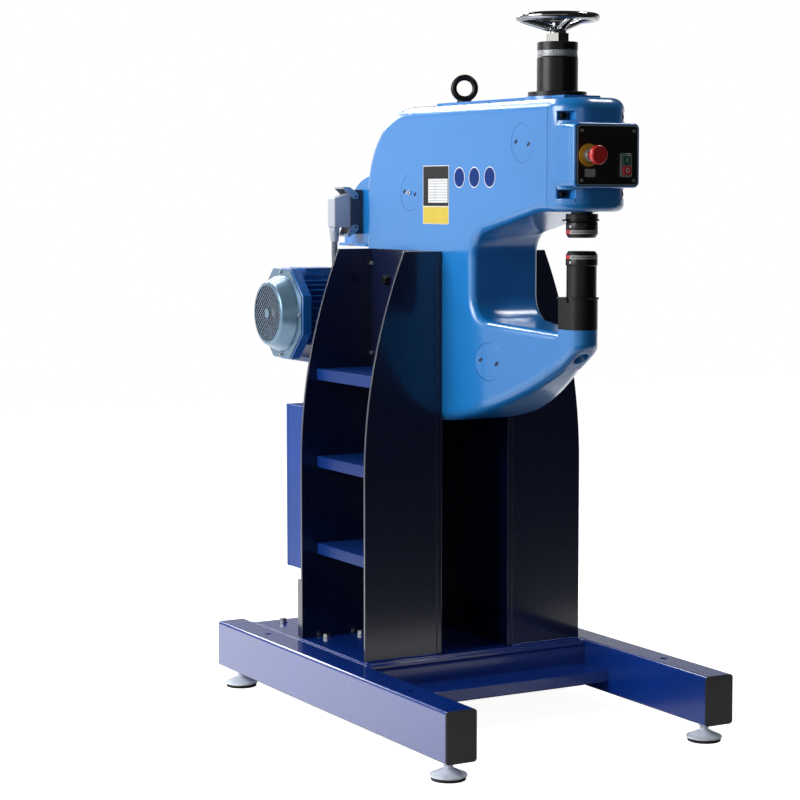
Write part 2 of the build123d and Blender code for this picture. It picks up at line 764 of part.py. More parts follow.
with BuildPart() as head_cap:
    with BuildSketch(Plane.XY.offset(head_bottom)) as cap_plan:
        with BuildLine():
            Polyline((half_w, tool_y), (-half_w, tool_y), (-half_w, cap_front_y), (half_w, cap_front_y),
                     close=True)
        make_face()
        fillet(nearest(cap_plan.vertices(), half_w, cap_front_y), cap_corner)
        fillet(nearest(cap_plan.vertices(), -half_w, cap_front_y), cap_corner)
    extrude(amount=casting_top - head_bottom)
    rim = [e for e in head_cap.edges()
           if e.bounding_box().size.Z < 0.01 and e.bounding_box().min.Y < tool_y - 0.01]
    fillet([e for e in rim if e.center().Z > casting_top - 1], edge_round)
    rim = [e for e in head_cap.edges()
           if e.bounding_box().size.Z < 0.01 and e.bounding_box().min.Y < tool_y - 0.01]
    fillet([e for e in rim if e.center().Z < head_bottom + 1], throat_edge_round)
    add(cap_block.part)
    rod((0, tool_y, head_bottom - 1), (0, 0, 1), bush_radius + seat_clearance,
        bush_high - head_bottom + 2, Mode.SUBTRACT)
    slab(-chamber_half + 14, chamber_half - 14, tool_y - 40, tool_y + 1, bush_high, chamber_roof - 10,
         Mode.SUBTRACT)
    for side in sides:
        for z in cap_bolt_zs:
            pocket_x = sorted((side * (cap_bolt_x - cap_pocket_wall), side * casting_width))
            slab(pocket_x[0], pocket_x[1], cap_front_y - 1, tool_y - cap_flange, z - cap_pocket_half,
                 z + cap_pocket_half, Mode.SUBTRACT)
            rod((side * cap_bolt_x, tool_y - cap_flange - 1, z), (0, 1, 0), cap_bolt_radius + free_clearance,
                cap_flange + 2, Mode.SUBTRACT)
head_cap.part.label = "head_cap"
export_step(head_cap.part, "parts/head_cap.step")

with BuildPart() as cap_bolts:
    for side in sides:
        for z in cap_bolt_zs:
            seat = (side * cap_bolt_x, tool_y - cap_flange, z)
            rod(seat, (0, -1, 0), cap_bolt_head, 10)
            rod(seat, (0, 1, 0), cap_bolt_radius, cap_flange + 32)
            hex_bar((seat[0], seat[1] - 4, z), (0, -1, 0), 8, 9, Mode.SUBTRACT)
cap_bolts.part.label = "cap_bolts"
export_step(cap_bolts.part, "parts/cap_bolts.step")

with BuildPart() as side_covers:
    for side in sides:
        for number, (y, z) in enumerate(cover_spots):
            cover_rod(side, (y, z), (0, 0), cover_radius, cover_thickness, cover_thickness)
            for hand in sides:
                for shift in ((hand * 24, hand * 5), (hand * 29, hand * 2)):
                    cover_rod(side, (y, z), shift, cover_pin, 4, 5, Mode.SUBTRACT)
            if number == nipple_cover:
                rod((side * half_w, y, z), (side, 0, 0), 6, 3)
                rod((side * half_w, y, z), (side, 0, 0), 3.5, 8)
side_covers.part.label = "side_covers"
export_step(side_covers.part, "parts/side_covers.step")

with BuildPart() as eyebolt:
    seat_z = casting_top + spine_height
    rod((0, eyebolt_y, seat_z - 40), (0, 0, 1), 10, 41)
    rod((0, eyebolt_y, seat_z), (0, 0, 1), 19, 6)
    taper((0, eyebolt_y, seat_z + 6), (0, 0, 1), 17, 9, 7)
    ring_turn = radians(eyebolt_turn)
    with Locations(Plane((0, eyebolt_y, eyebolt_z), z_dir=(sin(ring_turn), cos(ring_turn), 0))):
        Torus(eyebolt_ring, eyebolt_wire)
eyebolt.part.label = "eyebolt"
export_step(eyebolt.part, "parts/eyebolt.step")

# Rocker drive
rocker_length = hypot(rear_pin_y - fulcrum_y, rear_pin_z - fulcrum_z)
along = ((rear_pin_y - fulcrum_y) / rocker_length, (rear_pin_z - fulcrum_z) / rocker_length)
plate_end = rocker_length - 54.0
neck_y = tool_y + ram_head_radius + 8.0


def rocker_point(distance, offset):
    """A place on the rear arm, by its distance from the fulcrum and its height over the centre line."""
    return (fulcrum_y + along[0] * distance - along[1] * offset,
            fulcrum_z + along[1] * distance + along[0] * offset)


with BuildPart() as fulcrum_block:
    half = block_depth / 2
    slab(-chamber_half + free_clearance, chamber_half - free_clearance, fulcrum_y - half, fulcrum_y + half,
         block_low, block_high)
    rod((0, fulcrum_y, block_high - 1), (0, 0, 1), neck_radius, neck_top - block_high + 1)
    slab(-rocker_half - 1, rocker_half + 1, fulcrum_y - half - 1, fulcrum_y + half + 1,
         block_low - 1, fulcrum_z + rocker_hub + 5, Mode.SUBTRACT)
    rod((-chamber_half, fulcrum_y, fulcrum_z), (1, 0, 0), fulcrum_pin_radius + seat_clearance,
        2 * chamber_half, Mode.SUBTRACT)
    rod((0, fulcrum_y, block_high + 8), (0, 0, 1), spindle_radius + free_clearance,
        neck_top - block_high, Mode.SUBTRACT)
fulcrum_block.part.label = "fulcrum_block"
export_step(fulcrum_block.part, "parts/fulcrum_block.step")

with BuildPart() as fulcrum_pin:
    rod((-chamber_half + 2, fulcrum_y, fulcrum_z), (1, 0, 0), fulcrum_pin_radius, 2 * chamber_half - 4)
fulcrum_pin.part.label = "fulcrum_pin"
export_step(fulcrum_pin.part, "parts/fulcrum_pin.step")

with BuildPart() as rocker:
    with BuildSketch(Plane.YZ):
        with BuildLine():
            Polyline(rocker_point(0, 31), rocker_point(plate_end, 20), rocker_point(plate_end, -20),
                     rocker_point(0, -31), close=True)
        make_face()
        with BuildLine():
            Polyline((fulcrum_y, fulcrum_z + 28), (neck_y, fulcrum_z + rocker_nose - 2),
                     (tool_y, fulcrum_z + rocker_nose - 2), (tool_y, fulcrum_z - rocker_nose + 2),
                     (neck_y, fulcrum_z - rocker_nose + 2), (fulcrum_y, fulcrum_z - 28), close=True)
        make_face()
        with Locations((fulcrum_y, fulcrum_z)):
            Circle(rocker_hub)
        with Locations((tool_y, fulcrum_z)):
            Circle(rocker_nose)
    extrude(amount=rocker_half, both=True)
    for side in sides:
        prong = sorted((side * prong_inner_x, side * prong_outer_x))
        with BuildSketch(Plane.YZ.offset(prong[0])):
            with BuildLine():
                Polyline(rocker_point(plate_end - 50, 19), rocker_point(rocker_length, 15),
                         rocker_point(rocker_length, -15), rocker_point(plate_end - 50, -19), close=True)
            make_face()
            with Locations((rear_pin_y, rear_pin_z)):
                Circle(15)
        extrude(amount=prong_outer_x - prong_inner_x)
    rod((-prong_outer_x, rear_pin_y, rear_pin_z), (1, 0, 0), rear_pin_radius, 2 * prong_outer_x)
    rod((-rocker_half - 1, fulcrum_y, fulcrum_z), (1, 0, 0), fulcrum_pin_radius + running_clearance,
        2 * rocker_half + 2, Mode.SUBTRACT)
rocker.part.label = "rocker"
export_step(rocker.part, "parts/rocker.step")

with BuildPart() as ram:
    rod((0, tool_y, ram_bottom), (0, 0, 1), ram_radius, bush_high + 20 - ram_bottom)
    rod((0, tool_y, bush_high + 20), (0, 0, 1), ram_head_radius, fulcrum_z + 36 - bush_high - 20)
    slab(-rocker_half - 1, rocker_half + 1, tool_y - rocker_nose - 4, tool_y + ram_head_radius + 1,
         fulcrum_z - rocker_nose - free_clearance, fulcrum_z + rocker_nose + free_clearance, Mode.SUBTRACT)
    rod((0, tool_y, ram_bottom - 1), (0, 0, 1), spigot_radius + seat_clearance, 32, Mode.SUBTRACT)
ram.part.label = "ram"
export_step(ram.part, "parts/ram.step")

with BuildPart() as ram_bush:
    rod((0, tool_y, bush_low), (0, 0, 1), bush_radius, bush_high - bush_low)
    rod((0, tool_y, bush_low - 1), (0, 0, 1), ram_radius + running_clearance,
        bush_high - bush_low + 2, Mode.SUBTRACT)
ram_bush.part.label = "ram_bush"
export_step(ram_bush.part, "parts/ram_bush.step")

# Eccentric shaft and its housing
near_bearing_x = housing_near_x + housing_wall
far_bearing_x = housing_far_x - housing_wall - bearing_width

with BuildPart() as eccentric_shaft:
    rod((near_bearing_x + 1, shaft_y, shaft_z), (1, 0, 0), shaft_radius,
        housing_far_x - housing_wall - near_bearing_x - 2)
    rod((-lobe_half, shaft_y + eccentricity, shaft_z), (1, 0, 0), lobe_radius, 2 * lobe_half)
eccentric_shaft.part.label = "eccentric_shaft"
export_step(eccentric_shaft.part, "parts/eccentric_shaft.step")

with BuildPart() as con_rod:
    lobe_y = shaft_y + eccentricity
    rod_eye_radius = rear_pin_radius + rod_eye_play
    rod((-rod_half, lobe_y, shaft_z), (1, 0, 0), lobe_radius + rod_ring_wall, 2 * rod_half)
    rod((-rod_half, lobe_y, rear_pin_z), (1, 0, 0), rod_eye_radius + rod_eye_wall, 2 * rod_half)
    slab(-rod_half, rod_half, lobe_y - rod_web_half, lobe_y + rod_web_half, rear_pin_z, shaft_z)
    rod((-rod_half - 1, lobe_y, shaft_z), (1, 0, 0), lobe_radius + running_clearance,
        2 * rod_half + 2, Mode.SUBTRACT)
    rod((-rod_half - 1, lobe_y, rear_pin_z), (1, 0, 0), rod_eye_radius, 2 * rod_half + 2, Mode.SUBTRACT)
con_rod.part.label = "con_rod"
export_step(con_rod.part, "parts/con_rod.step")

with BuildPart() as shaft_bearings:
    for x in (near_bearing_x, far_bearing_x):
        rod((x, shaft_y, shaft_z), (1, 0, 0), bearing_radius, bearing_width)
        rod((x - 1, shaft_y, shaft_z), (1, 0, 0), shaft_radius + running_clearance,
            bearing_width + 2, Mode.SUBTRACT)
shaft_bearings.part.label = "shaft_bearings"
export_step(shaft_bearings.part, "parts/shaft_bearings.step")

with BuildPart() as driven_pulley:
    rod((pulley_x, shaft_y, shaft_z), (1, 0, 0), pulley_radius, pulley_width)
    for x in (pulley_x - 1, pulley_x + pulley_width - 5):
        with BuildSketch(Plane((x, shaft_y, shaft_z), z_dir=(1, 0, 0))):
            Circle(pulley_radius - 9)
            Circle(shaft_radius + 12, mode=Mode.SUBTRACT)
        extrude(amount=6, mode=Mode.SUBTRACT)
    rod((pulley_x - 1, shaft_y, shaft_z), (1, 0, 0), shaft_radius + seat_clearance,
        pulley_width + 2, Mode.SUBTRACT)
driven_pulley.part.label = "driven_pulley"
export_step(driven_pulley.part, "parts/driven_pulley.step")


def belt_face(grow):
    """Outline round both pulleys at a given distance from their rims."""
    with BuildSketch(Plane.YZ.offset(pulley_x + 1)) as loop:
        with Locations((shaft_y, shaft_z)):
            Circle(pulley_radius + grow)
        with Locations((motor_y, motor_z)):
            Circle(motor_pulley_radius + grow)
        make_hull()
    return loop.sketch


with BuildPart() as drive_belt:
    extrude(belt_face(belt_gap + belt_thickness), amount=pulley_width - 2)
    extrude(belt_face(belt_gap), amount=pulley_width - 2, mode=Mode.SUBTRACT)
drive_belt.part.label = "drive_belt"
export_step(drive_belt.part, "parts/drive_belt.step")


def housing_face(x, grow, low):
    """Outline of the drive housing seen along X: round top, straight sides."""
    radius = housing_radius + grow
    with BuildSketch(Plane.YZ.offset(x)) as arch:
        with BuildLine():
            Polyline((shaft_y - radius, shaft_z), (shaft_y - radius, low), (shaft_y + radius, low),
                     (shaft_y + radius, shaft_z))
            ThreePointArc((shaft_y + radius, shaft_z), (shaft_y, shaft_z + radius), (shaft_y - radius, shaft_z))
        make_face()
    return arch.sketch


def cover_face(x, shrink, low):
    """Outline of the cover round the eccentric: one quarter round from the casting to the back."""
    radius = cover_round - shrink
    front = casting_rear_y + shrink
    middle = casting_rear_y + cover_setback
    with BuildSketch(Plane.YZ.offset(x)) as cover:
        with BuildLine():
            Polyline((middle, cover_round_z + radius), (front, cover_round_z + radius), (front, low),
                     (middle + radius, low), (middle + radius, cover_round_z))
            RadiusArc((middle + radius, cover_round_z), (middle, cover_round_z + radius), -radius)
        make_face()
    return cover.sketch


with BuildPart() as drive_housing:
    extrude(cover_face(housing_near_x, 0, housing_bottom), amount=housing_step_x - housing_near_x + 1)
    extrude(housing_face(housing_step_x, 0, housing_bottom), amount=housing_far_x - housing_step_x)
    slab(housing_step_x, housing_far_x, casting_rear_y, shaft_y - housing_radius + 20,
         housing_bottom, shaft_z + 26)
    slab(housing_near_x - 24, housing_far_x + 10, casting_rear_y, casting_rear_y + housing_flange_depth,
         housing_bottom, housing_bottom + housing_wall)
    slab(housing_near_x - 18, housing_near_x - 9, casting_rear_y + 28, casting_rear_y + 64,
         housing_bottom - 1, housing_bottom + housing_wall + 1, Mode.SUBTRACT)
    extrude(housing_face(housing_step_x + housing_wall, -housing_wall, housing_bottom - 1),
            amount=housing_far_x - housing_step_x - 2 * housing_wall, mode=Mode.SUBTRACT)
    extrude(cover_face(housing_near_x + housing_wall, cover_wall, housing_bottom - 1),
            amount=housing_step_x + 1 - housing_near_x, mode=Mode.SUBTRACT)
    for x in (near_bearing_x, far_bearing_x):
        rod((x, shaft_y, shaft_z), (1, 0, 0), bearing_radius + 9, bearing_width)
        rod((x, shaft_y, shaft_z), (1, 0, 0), bearing_radius + seat_clearance, bearing_width, Mode.SUBTRACT)
    slab(-tunnel_half, tunnel_half, casting_rear_y - 1, shaft_y - housing_radius + 30,
         housing_bottom - 1, shaft_z + 20, Mode.SUBTRACT)
drive_housing.part.label = "drive_housing"
export_step(drive_housing.part, "parts/drive_housing.step")

# Motor
motor_axis = Axis((0, motor_y, motor_z), (1, 0, 0))
terminal_x = (-218.0, -128.0)
terminal_half = 44.0
terminal_height = 16.5
terminal_seat = motor_z + 97.0
fin_count = 40

with BuildPart() as motor_body:
    rod((motor_shield_x, motor_y, motor_z), (1, 0, 0), motor_core_radius, motor_rear_x - motor_shield_x)
    rod((motor_rear_x - 20, motor_y, motor_z), (1, 0, 0), motor_core_radius + 10, 20)
    for number in range(fin_count):
        turn = 360 / fin_count * number
        to_top = abs((turn - 90 + 180) % 360 - 180)
        to_bottom = abs((turn - 270 + 180) % 360 - 180)
        if to_top > 28 and to_bottom > 40:
            with Locations(Plane((motor_shield_x + 4, motor_y, motor_z), x_dir=(1, 0, 0),
                                 z_dir=(0, cos(radians(turn)), sin(radians(turn))))):
                Box(motor_rear_x - 24 - motor_shield_x, motor_fin, motor_fin_radius,
                    align=(Align.MIN, Align.CENTER, Align.MIN))
    slab(terminal_x[0] - 4, terminal_x[1] + 4, motor_y - terminal_half + 3, motor_y + terminal_half - 3,
         motor_z, terminal_seat)
    for x in motor_foot_xs:
        slab(x, x + motor_foot_width, motor_y - motor_foot_reach - 16, motor_y + motor_foot_reach + 16,
             motor_foot_z, motor_foot_z + 16)
        slab(x, x + motor_foot_width, motor_y - 62, motor_y + 62, motor_foot_z, motor_z - 40)
        for hand in sides:
            rod((x + motor_foot_width / 2, motor_y + hand * motor_foot_reach, motor_foot_z - 1), (0, 0, 1),
                6.5, 20, Mode.SUBTRACT)
    rod((motor_shield_x - 1, motor_y, motor_z), (1, 0, 0), motor_shaft_radius + running_clearance,
        motor_rear_x - motor_shield_x + 2, Mode.SUBTRACT)
motor_body.part.label = "motor_body"
export_step(motor_body.part, "parts/motor_body.step")

shield_face_x = motor_shield_x - motor_shield_depth
cowl_base_x = shield_face_x - cowl_sheet
fan_depth = 22.0
grille_slot = 6.5
grille_bar = 4.5
grille_rings = (22.0, 32.5, 43.0, 53.5, 64.0, 74.5)
shield_screw_radius = 4.5
screw_ring = cowl_radius + shield_screw_radius + 2.5
shield_screws = [(motor_y + screw_ring * cos(radians(a)), motor_z + screw_ring * sin(radians(a)))
                 for a in (0, 90, 180, 270)]

with BuildPart() as motor_shield:
    with BuildSketch(Plane((motor_shield_x, motor_y, motor_z), x_dir=(0, 1, 0), z_dir=(-1, 0, 0))):
        RegularPolygon(motor_shield_half, 8, major_radius=False, rotation=22.5)
    extrude(amount=motor_shield_depth)
    chamfer(motor_shield.faces().sort_by(Axis.X)[0].outer_wire().edges(), 2)
    rod((motor_shield_x + 1, motor_y, motor_z), (-1, 0, 0), motor_shaft_radius + running_clearance,
        motor_shield_depth + 2, Mode.SUBTRACT)
motor_shield.part.label = "motor_shield"
export_step(motor_shield.part, "parts/motor_shield.step")

with BuildPart() as motor_cowl:
    with BuildSketch(Plane((shield_face_x, motor_y, motor_z), x_dir=(0, 1, 0), z_dir=(-1, 0, 0))):
        RegularPolygon(motor_shield_half - 3, 8, major_radius=False, rotation=22.5)
        Circle(cowl_radius - cowl_sheet, mode=Mode.SUBTRACT)
    extrude(amount=cowl_sheet)
    with BuildSketch(Plane.XZ.offset(-motor_y)):
        with BuildLine():
            Polyline(
                (shield_face_x, motor_z + cowl_radius),
                (cowl_base_x - 6, motor_z + cowl_radius - 2),
                (motor_face_x + 4, motor_z + motor_face_radius + 4),
                (motor_face_x, motor_z + motor_face_radius),
                (motor_face_x, motor_z),
                (motor_face_x + cowl_sheet, motor_z),
                (motor_face_x + cowl_sheet, motor_z + motor_face_radius - 1),
                (motor_face_x + 2 * cowl_sheet, motor_z + motor_face_radius + 2),
                (cowl_base_x - 6, motor_z + cowl_radius - 2 - cowl_sheet),
                (shield_face_x, motor_z + cowl_radius - cowl_sheet),
                close=True,
            )
        make_face()
    revolve(axis=motor_axis)
    for radius in grille_rings:
        with BuildSketch(Plane((motor_face_x - 1, motor_y, motor_z), x_dir=(0, 1, 0), z_dir=(1, 0, 0))):
            Circle(radius)
            Circle(radius - grille_slot, mode=Mode.SUBTRACT)
            with PolarLocations(0, 3):
                Rectangle(2 * motor_face_radius + 10, grille_bar, mode=Mode.SUBTRACT)
        extrude(amount=2 * cowl_sheet, mode=Mode.SUBTRACT)
motor_cowl.part.label = "motor_cowl"
export_step(motor_cowl.part, "parts/motor_cowl.step")

with BuildPart() as motor_shaft:
    rod((motor_face_x + 18, motor_y, motor_z), (1, 0, 0), motor_shaft_radius,
        pulley_x + pulley_width + 4 - motor_face_x - 18)
    rod((pulley_x, motor_y, motor_z), (1, 0, 0), motor_pulley_radius, pulley_width)
motor_shaft.part.label = "motor_shaft"
export_step(motor_shaft.part, "parts/motor_shaft.step")

with BuildPart() as motor_fan:
    fan_x = motor_face_x + 16.0
    rod((fan_x, motor_y, motor_z), (1, 0, 0), 24, fan_depth)
    rod((fan_x + fan_depth - 4, motor_y, motor_z), (1, 0, 0), 62, 3)
    for number in range(8):
        turn = radians(45 * number + 10)
        with Locations(Plane((fan_x + 2, motor_y, motor_z), x_dir=(1, 0, 0), z_dir=(0, cos(turn), sin(turn)))):
            Box(fan_depth - 5, 3, 60, align=(Align.MIN, Align.CENTER, Align.MIN))
    rod((fan_x - 1, motor_y, motor_z), (1, 0, 0), motor_shaft_radius + seat_clearance, fan_depth + 2,
        Mode.SUBTRACT)
motor_fan.part.label = "motor_fan"
export_step(motor_fan.part, "parts/motor_fan.step")

with BuildPart() as terminal_box:
    slab(terminal_x[0], terminal_x[1], motor_y - terminal_half, motor_y + terminal_half,
         terminal_seat, terminal_seat + terminal_height)
    fillet(terminal_box.edges().filter_by(Axis.Z), 6)
    slab(terminal_x[0] - 2, terminal_x[1] + 2, motor_y - terminal_half - 2, motor_y + terminal_half + 2,
         terminal_seat + terminal_height, terminal_seat + terminal_height + 5)
terminal_box.part.label = "terminal_box"
export_step(terminal_box.part, "parts/terminal_box.step")

with BuildPart() as motor_bracket:
    bracket_low = motor_foot_z - bracket_drop
    slab(bracket_left, -wall_inner_x - 4, stand_rear_y, motor_y, motor_foot_z - bracket_plate, motor_foot_z)
    slab(bracket_left, bracket_right, casting_rear_y, motor_y + bracket_overhang,
         motor_foot_z - bracket_plate, motor_foot_z)
    slab(bracket_left, -wall_inner_x - 4, stand_rear_y, stand_rear_y + bracket_plate, bracket_low, motor_foot_z)
    slab(-wall_inner_x + edge_round, bracket_right, casting_rear_y, casting_rear_y + bracket_plate,
         bracket_low, motor_foot_z)
    for x, y, reach in ((bracket_left, stand_rear_y, near_gusset),
                        (bracket_right - 8, casting_rear_y, far_gusset)):
        with BuildSketch(Plane.YZ.offset(x)):
            with BuildLine():
                Polyline((y + bracket_plate - 1, bracket_low), (y + reach, motor_foot_z - bracket_plate + 1),
                         (y + bracket_plate - 1, motor_foot_z - bracket_plate + 1), close=True)
            make_face()
        extrude(amount=8)
    rod((gland_x, conduit_front_y, motor_foot_z - bracket_plate - 1), (0, 0, 1), conduit_radius + 4,
        bracket_plate + 2, Mode.SUBTRACT)
    for x in motor_foot_xs:
        for hand in sides:
            rod((x + motor_foot_width / 2, motor_y + hand * motor_foot_reach, motor_foot_z - bracket_plate - 1),
                (0, 0, 1), 6.5, bracket_plate + 2, Mode.SUBTRACT)
motor_bracket.part.label = "motor_bracket"
export_step(motor_bracket.part, "parts/motor_bracket.step")

# Height adjuster
with BuildPart() as adjuster_sleeve:
    rod((0, fulcrum_y, boss_top), (0, 0, 1), sleeve_radius, sleeve_top - boss_top)
    chamfer(adjuster_sleeve.edges().group_by(Axis.Z)[-1], 2)
    rod((0, fulcrum_y, boss_top), (0, 0, 1), sleeve_flange_radius, sleeve_flange)
    rod((0, fulcrum_y, boss_top - 1), (0, 0, 1), neck_radius + 3, sleeve_top - 10 - boss_top + 1, Mode.SUBTRACT)
    rod((0, fulcrum_y, sleeve_top - 12), (0, 0, 1), journal_radius + running_clearance, 20, Mode.SUBTRACT)
adjuster_sleeve.part.label = "adjuster_sleeve"
export_step(adjuster_sleeve.part, "parts/adjuster_sleeve.step")

with BuildPart() as scale_ring:
    rod((0, fulcrum_y, sleeve_top), (0, 0, 1), sleeve_radius - 1.5, scale_top - sleeve_top)
    rod((0, fulcrum_y, sleeve_top - 1), (0, 0, 1), journal_radius + free_clearance,
        scale_top - sleeve_top + 2, Mode.SUBTRACT)
scale_ring.part.label = "scale_ring"
export_step(scale_ring.part, "parts/scale_ring.step")

with BuildPart() as adjuster_spindle:
    thread_low = block_high + 8 + 14
    thrust_low = neck_top + 14
    rod((0, fulcrum_y, thread_low), (0, 0, 1), spindle_radius, thrust_low - thread_low + 1)
    rod((0, fulcrum_y, thrust_low), (0, 0, 1), neck_radius, sleeve_top - 10 - free_clearance - thrust_low)
    rod((0, fulcrum_y, thrust_low), (0, 0, 1), journal_radius, scale_top + 2 - thrust_low)
    rod((0, fulcrum_y, scale_top + free_clearance), (0, 0, 1), collar_radius,
        collar_top - scale_top - free_clearance)
    rod((0, fulcrum_y, collar_top - 1), (0, 0, 1), spindle_radius, hub_top + 17 - collar_top)
    rod((0, fulcrum_y - collar_radius - 1, scale_top + 5), (0, 1, 0), 3, 6, Mode.SUBTRACT)
adjuster_spindle.part.label = "adjuster_spindle"
export_step(adjuster_spindle.part, "parts/adjuster_spindle.step")

with BuildPart() as handwheel:
    hex_bar((0, fulcrum_y, collar_top), (0, 0, 1), hub_across, hub_top - collar_top)
    taper((0, fulcrum_y, hub_top - 1), (0, 0, 1), 21, 17, 24)
    with Locations((0, fulcrum_y, wheel_z)):
        Torus(wheel_radius, wheel_tube)
    for number in range(3):
        turn = radians(120 * number + 20)
        reach = (cos(turn) * 74, sin(turn) * 74, wheel_z - 4 - hub_top - 10)
        length = hypot(74, wheel_z - 4 - hub_top - 10)
        taper((cos(turn) * 10, fulcrum_y + sin(turn) * 10, hub_top + 10), reach, 9, 7, length)
    rod((0, fulcrum_y, collar_top - 1), (0, 0, 1), spindle_radius + seat_clearance,
        hub_top + 18 - collar_top, Mode.SUBTRACT)
handwheel.part.label = "handwheel"
export_step(handwheel.part, "parts/handwheel.step")

# Tools
with BuildPart() as upper_tool_holder:
    rod((0, tool_y, upper_holder_low), (0, 0, 1), upper_holder_radius,
        ram_bottom + upper_holder_wall - upper_holder_low)
    chamfer(upper_tool_holder.edges().filter_by(GeomType.CIRCLE).group_by(Axis.Z)[-1], 1)
    rod((0, tool_y, upper_holder_low), (0, 0, 1), upper_holder_radius + rim_overhang, holder_rim)
    slab(-clip_reach, -ram_radius, tool_y - clip_width / 2, tool_y + clip_width / 2, upper_holder_low,
         upper_holder_low + holder_rim)
    rod((0, tool_y, ram_bottom), (0, 0, 1), ram_radius + seat_clearance, upper_holder_wall + 1, Mode.SUBTRACT)
    rod((0, tool_y, ram_bottom - 1), (0, 0, 1), spigot_radius, 28)
    rod((0, tool_y, upper_holder_low - 1), (0, 0, 1), 8 + seat_clearance, 22, Mode.SUBTRACT)
upper_tool_holder.part.label = "upper_tool_holder"
export_step(upper_tool_holder.part, "parts/upper_tool_holder.step")

with BuildPart() as upper_tool:
    with BuildSketch(Plane.XZ.offset(-tool_y)):
        with BuildLine():
            Polyline(
                (0, upper_tool_low),
                (tool_face_radius, upper_tool_low),
                (upper_tool_radius, upper_tool_low + 9),
                (upper_tool_radius, upper_holder_low - 5),
                (upper_tool_radius - 2, upper_holder_low),
                (8, upper_holder_low),
                (8, upper_holder_low + 20),
                (0, upper_holder_low + 20),
                close=True,
            )
        make_face()
    revolve(axis=Axis((0, tool_y, 0), (0, 0, 1)))
upper_tool.part.label = "upper_tool"
export_step(upper_tool.part, "parts/upper_tool.step")

with BuildPart() as lower_tool_holder:
    extrude(nose_face(pad_top, 0), amount=holder_top - holder_rim - pad_top)
    extrude(nose_face(holder_top - holder_rim, rim_overhang), amount=holder_rim)
    slab(-nose_half - rim_overhang - 1, -nose_half + 4, tool_y - holder_notch / 2, tool_y + holder_notch / 2,
         holder_top - holder_rim - holder_notch, holder_top + 1, Mode.SUBTRACT)
    rod((0, tool_y, pad_top - 30), (0, 0, 1), tool_hole_radius - 0.1, 31)
    rod((0, tool_y, pad_top + 22), (0, 0, 1), 20 + seat_clearance, holder_top - pad_top, Mode.SUBTRACT)
lower_tool_holder.part.label = "lower_tool_holder"
export_step(lower_tool_holder.part, "parts/lower_tool_holder.step")

with BuildPart() as lower_tool:
    with BuildSketch(Plane.XZ.offset(-tool_y)):
        with BuildLine():
            Polyline(
                (0, pad_top + 24),
                (20, pad_top + 24),
                (20, holder_top),
                (column_radius, holder_top),
                (column_radius, lower_collar_low),
                (upper_tool_radius, lower_collar_low + 2),
                (upper_tool_radius, lower_tool_top - 9),
                (tool_face_radius, lower_tool_top),
                (0, lower_tool_top),
                close=True,
            )
        make_face()
    revolve(axis=Axis((0, tool_y, 0), (0, 0, 1)))
lower_tool.part.label = "lower_tool"
export_step(lower_tool.part, "parts/lower_tool.step")

# Control box
box_mid_z = (box_low + box_high) / 2
box_height = box_high - box_low
start_z = switch_z + 12.0
stop_z = switch_z - 12.0

with BuildPart() as control_box:
    with BuildSketch(Plane.XZ.offset(-cap_front_y)):
        with Locations((0, box_mid_z)):
            RectangleRounded(box_width, box_height, box_corner)
    extrude(amount=cap_front_y - box_front_y)
    fillet(control_box.faces().sort_by(Axis.Y)[0].outer_wire().edges(), box_rim)
    with BuildSketch(Plane.XZ.offset(-cap_front_y - 1)):
        with Locations((0, box_mid_z)):
            RectangleRounded(box_width - 2 * box_wall, box_height - 2 * box_wall, box_corner - box_wall)
    extrude(amount=cap_front_y + 1 - box_front_y - box_wall, mode=Mode.SUBTRACT)
    rod((estop_x, box_front_y - 1, estop_z), (0, 1, 0), 11, box_wall + 2, Mode.SUBTRACT)
    slab(switch_x - 12, switch_x + 12, box_front_y - 1, box_front_y + box_wall + 1,
         switch_z - 24, switch_z + 24, Mode.SUBTRACT)
    for side in sides:
        for z in panel_screw_zs:
            rod((side * panel_screw_x, box_front_y - 1, z), (0, 1, 0), 2 + running_clearance,
                box_wall + 2, Mode.SUBTRACT)
control_box.part.label = "control_box"
export_step(control_box.part, "parts/control_box.step")

with BuildPart() as control_panel:
    with BuildSketch(Plane.XZ.offset(-box_front_y)):
        with Locations((0, box_mid_z)):
            RectangleRounded(panel_width, panel_height, panel_corner)
    extrude(amount=panel_thickness)
    rod((estop_x, box_front_y + 1, estop_z), (0, -1, 0), 11, panel_thickness + 2, Mode.SUBTRACT)
    slab(switch_x - 12, switch_x + 12, panel_front_y - 1, box_front_y + 1, switch_z - 24, switch_z + 24,
         Mode.SUBTRACT)
    for side in sides:
        for z in panel_screw_zs:
            rod((side * panel_screw_x, box_front_y + 1, z), (0, -1, 0), 2 + free_clearance,
                panel_thickness + 2, Mode.SUBTRACT)
control_panel.part.label = "control_panel"
export_step(control_panel.part, "parts/control_panel.step")

with BuildPart() as small_screws:
    for side in sides:
        for z in panel_screw_zs:
            rod((side * panel_screw_x, panel_front_y, z), (0, -1, 0), 4, 1.8)
            rod((side * panel_screw_x, panel_front_y, z), (0, 1, 0), 2, panel_thickness + box_wall + 2)
            slab(side * panel_screw_x - 3, side * panel_screw_x + 3, panel_front_y - 2, panel_front_y - 0.8,
                 z - 0.6, z + 0.6, Mode.SUBTRACT)
        for y, z in bay_screws:
            rod((side * wall_outer_x, y, z), (side, 0, 0), 5, 4)
    for y, z in shield_screws:
        rod((cowl_base_x, y, z), (-1, 0, 0), shield_screw_radius, 5)
small_screws.part.label = "small_screws"
export_step(small_screws.part, "parts/small_screws.step")

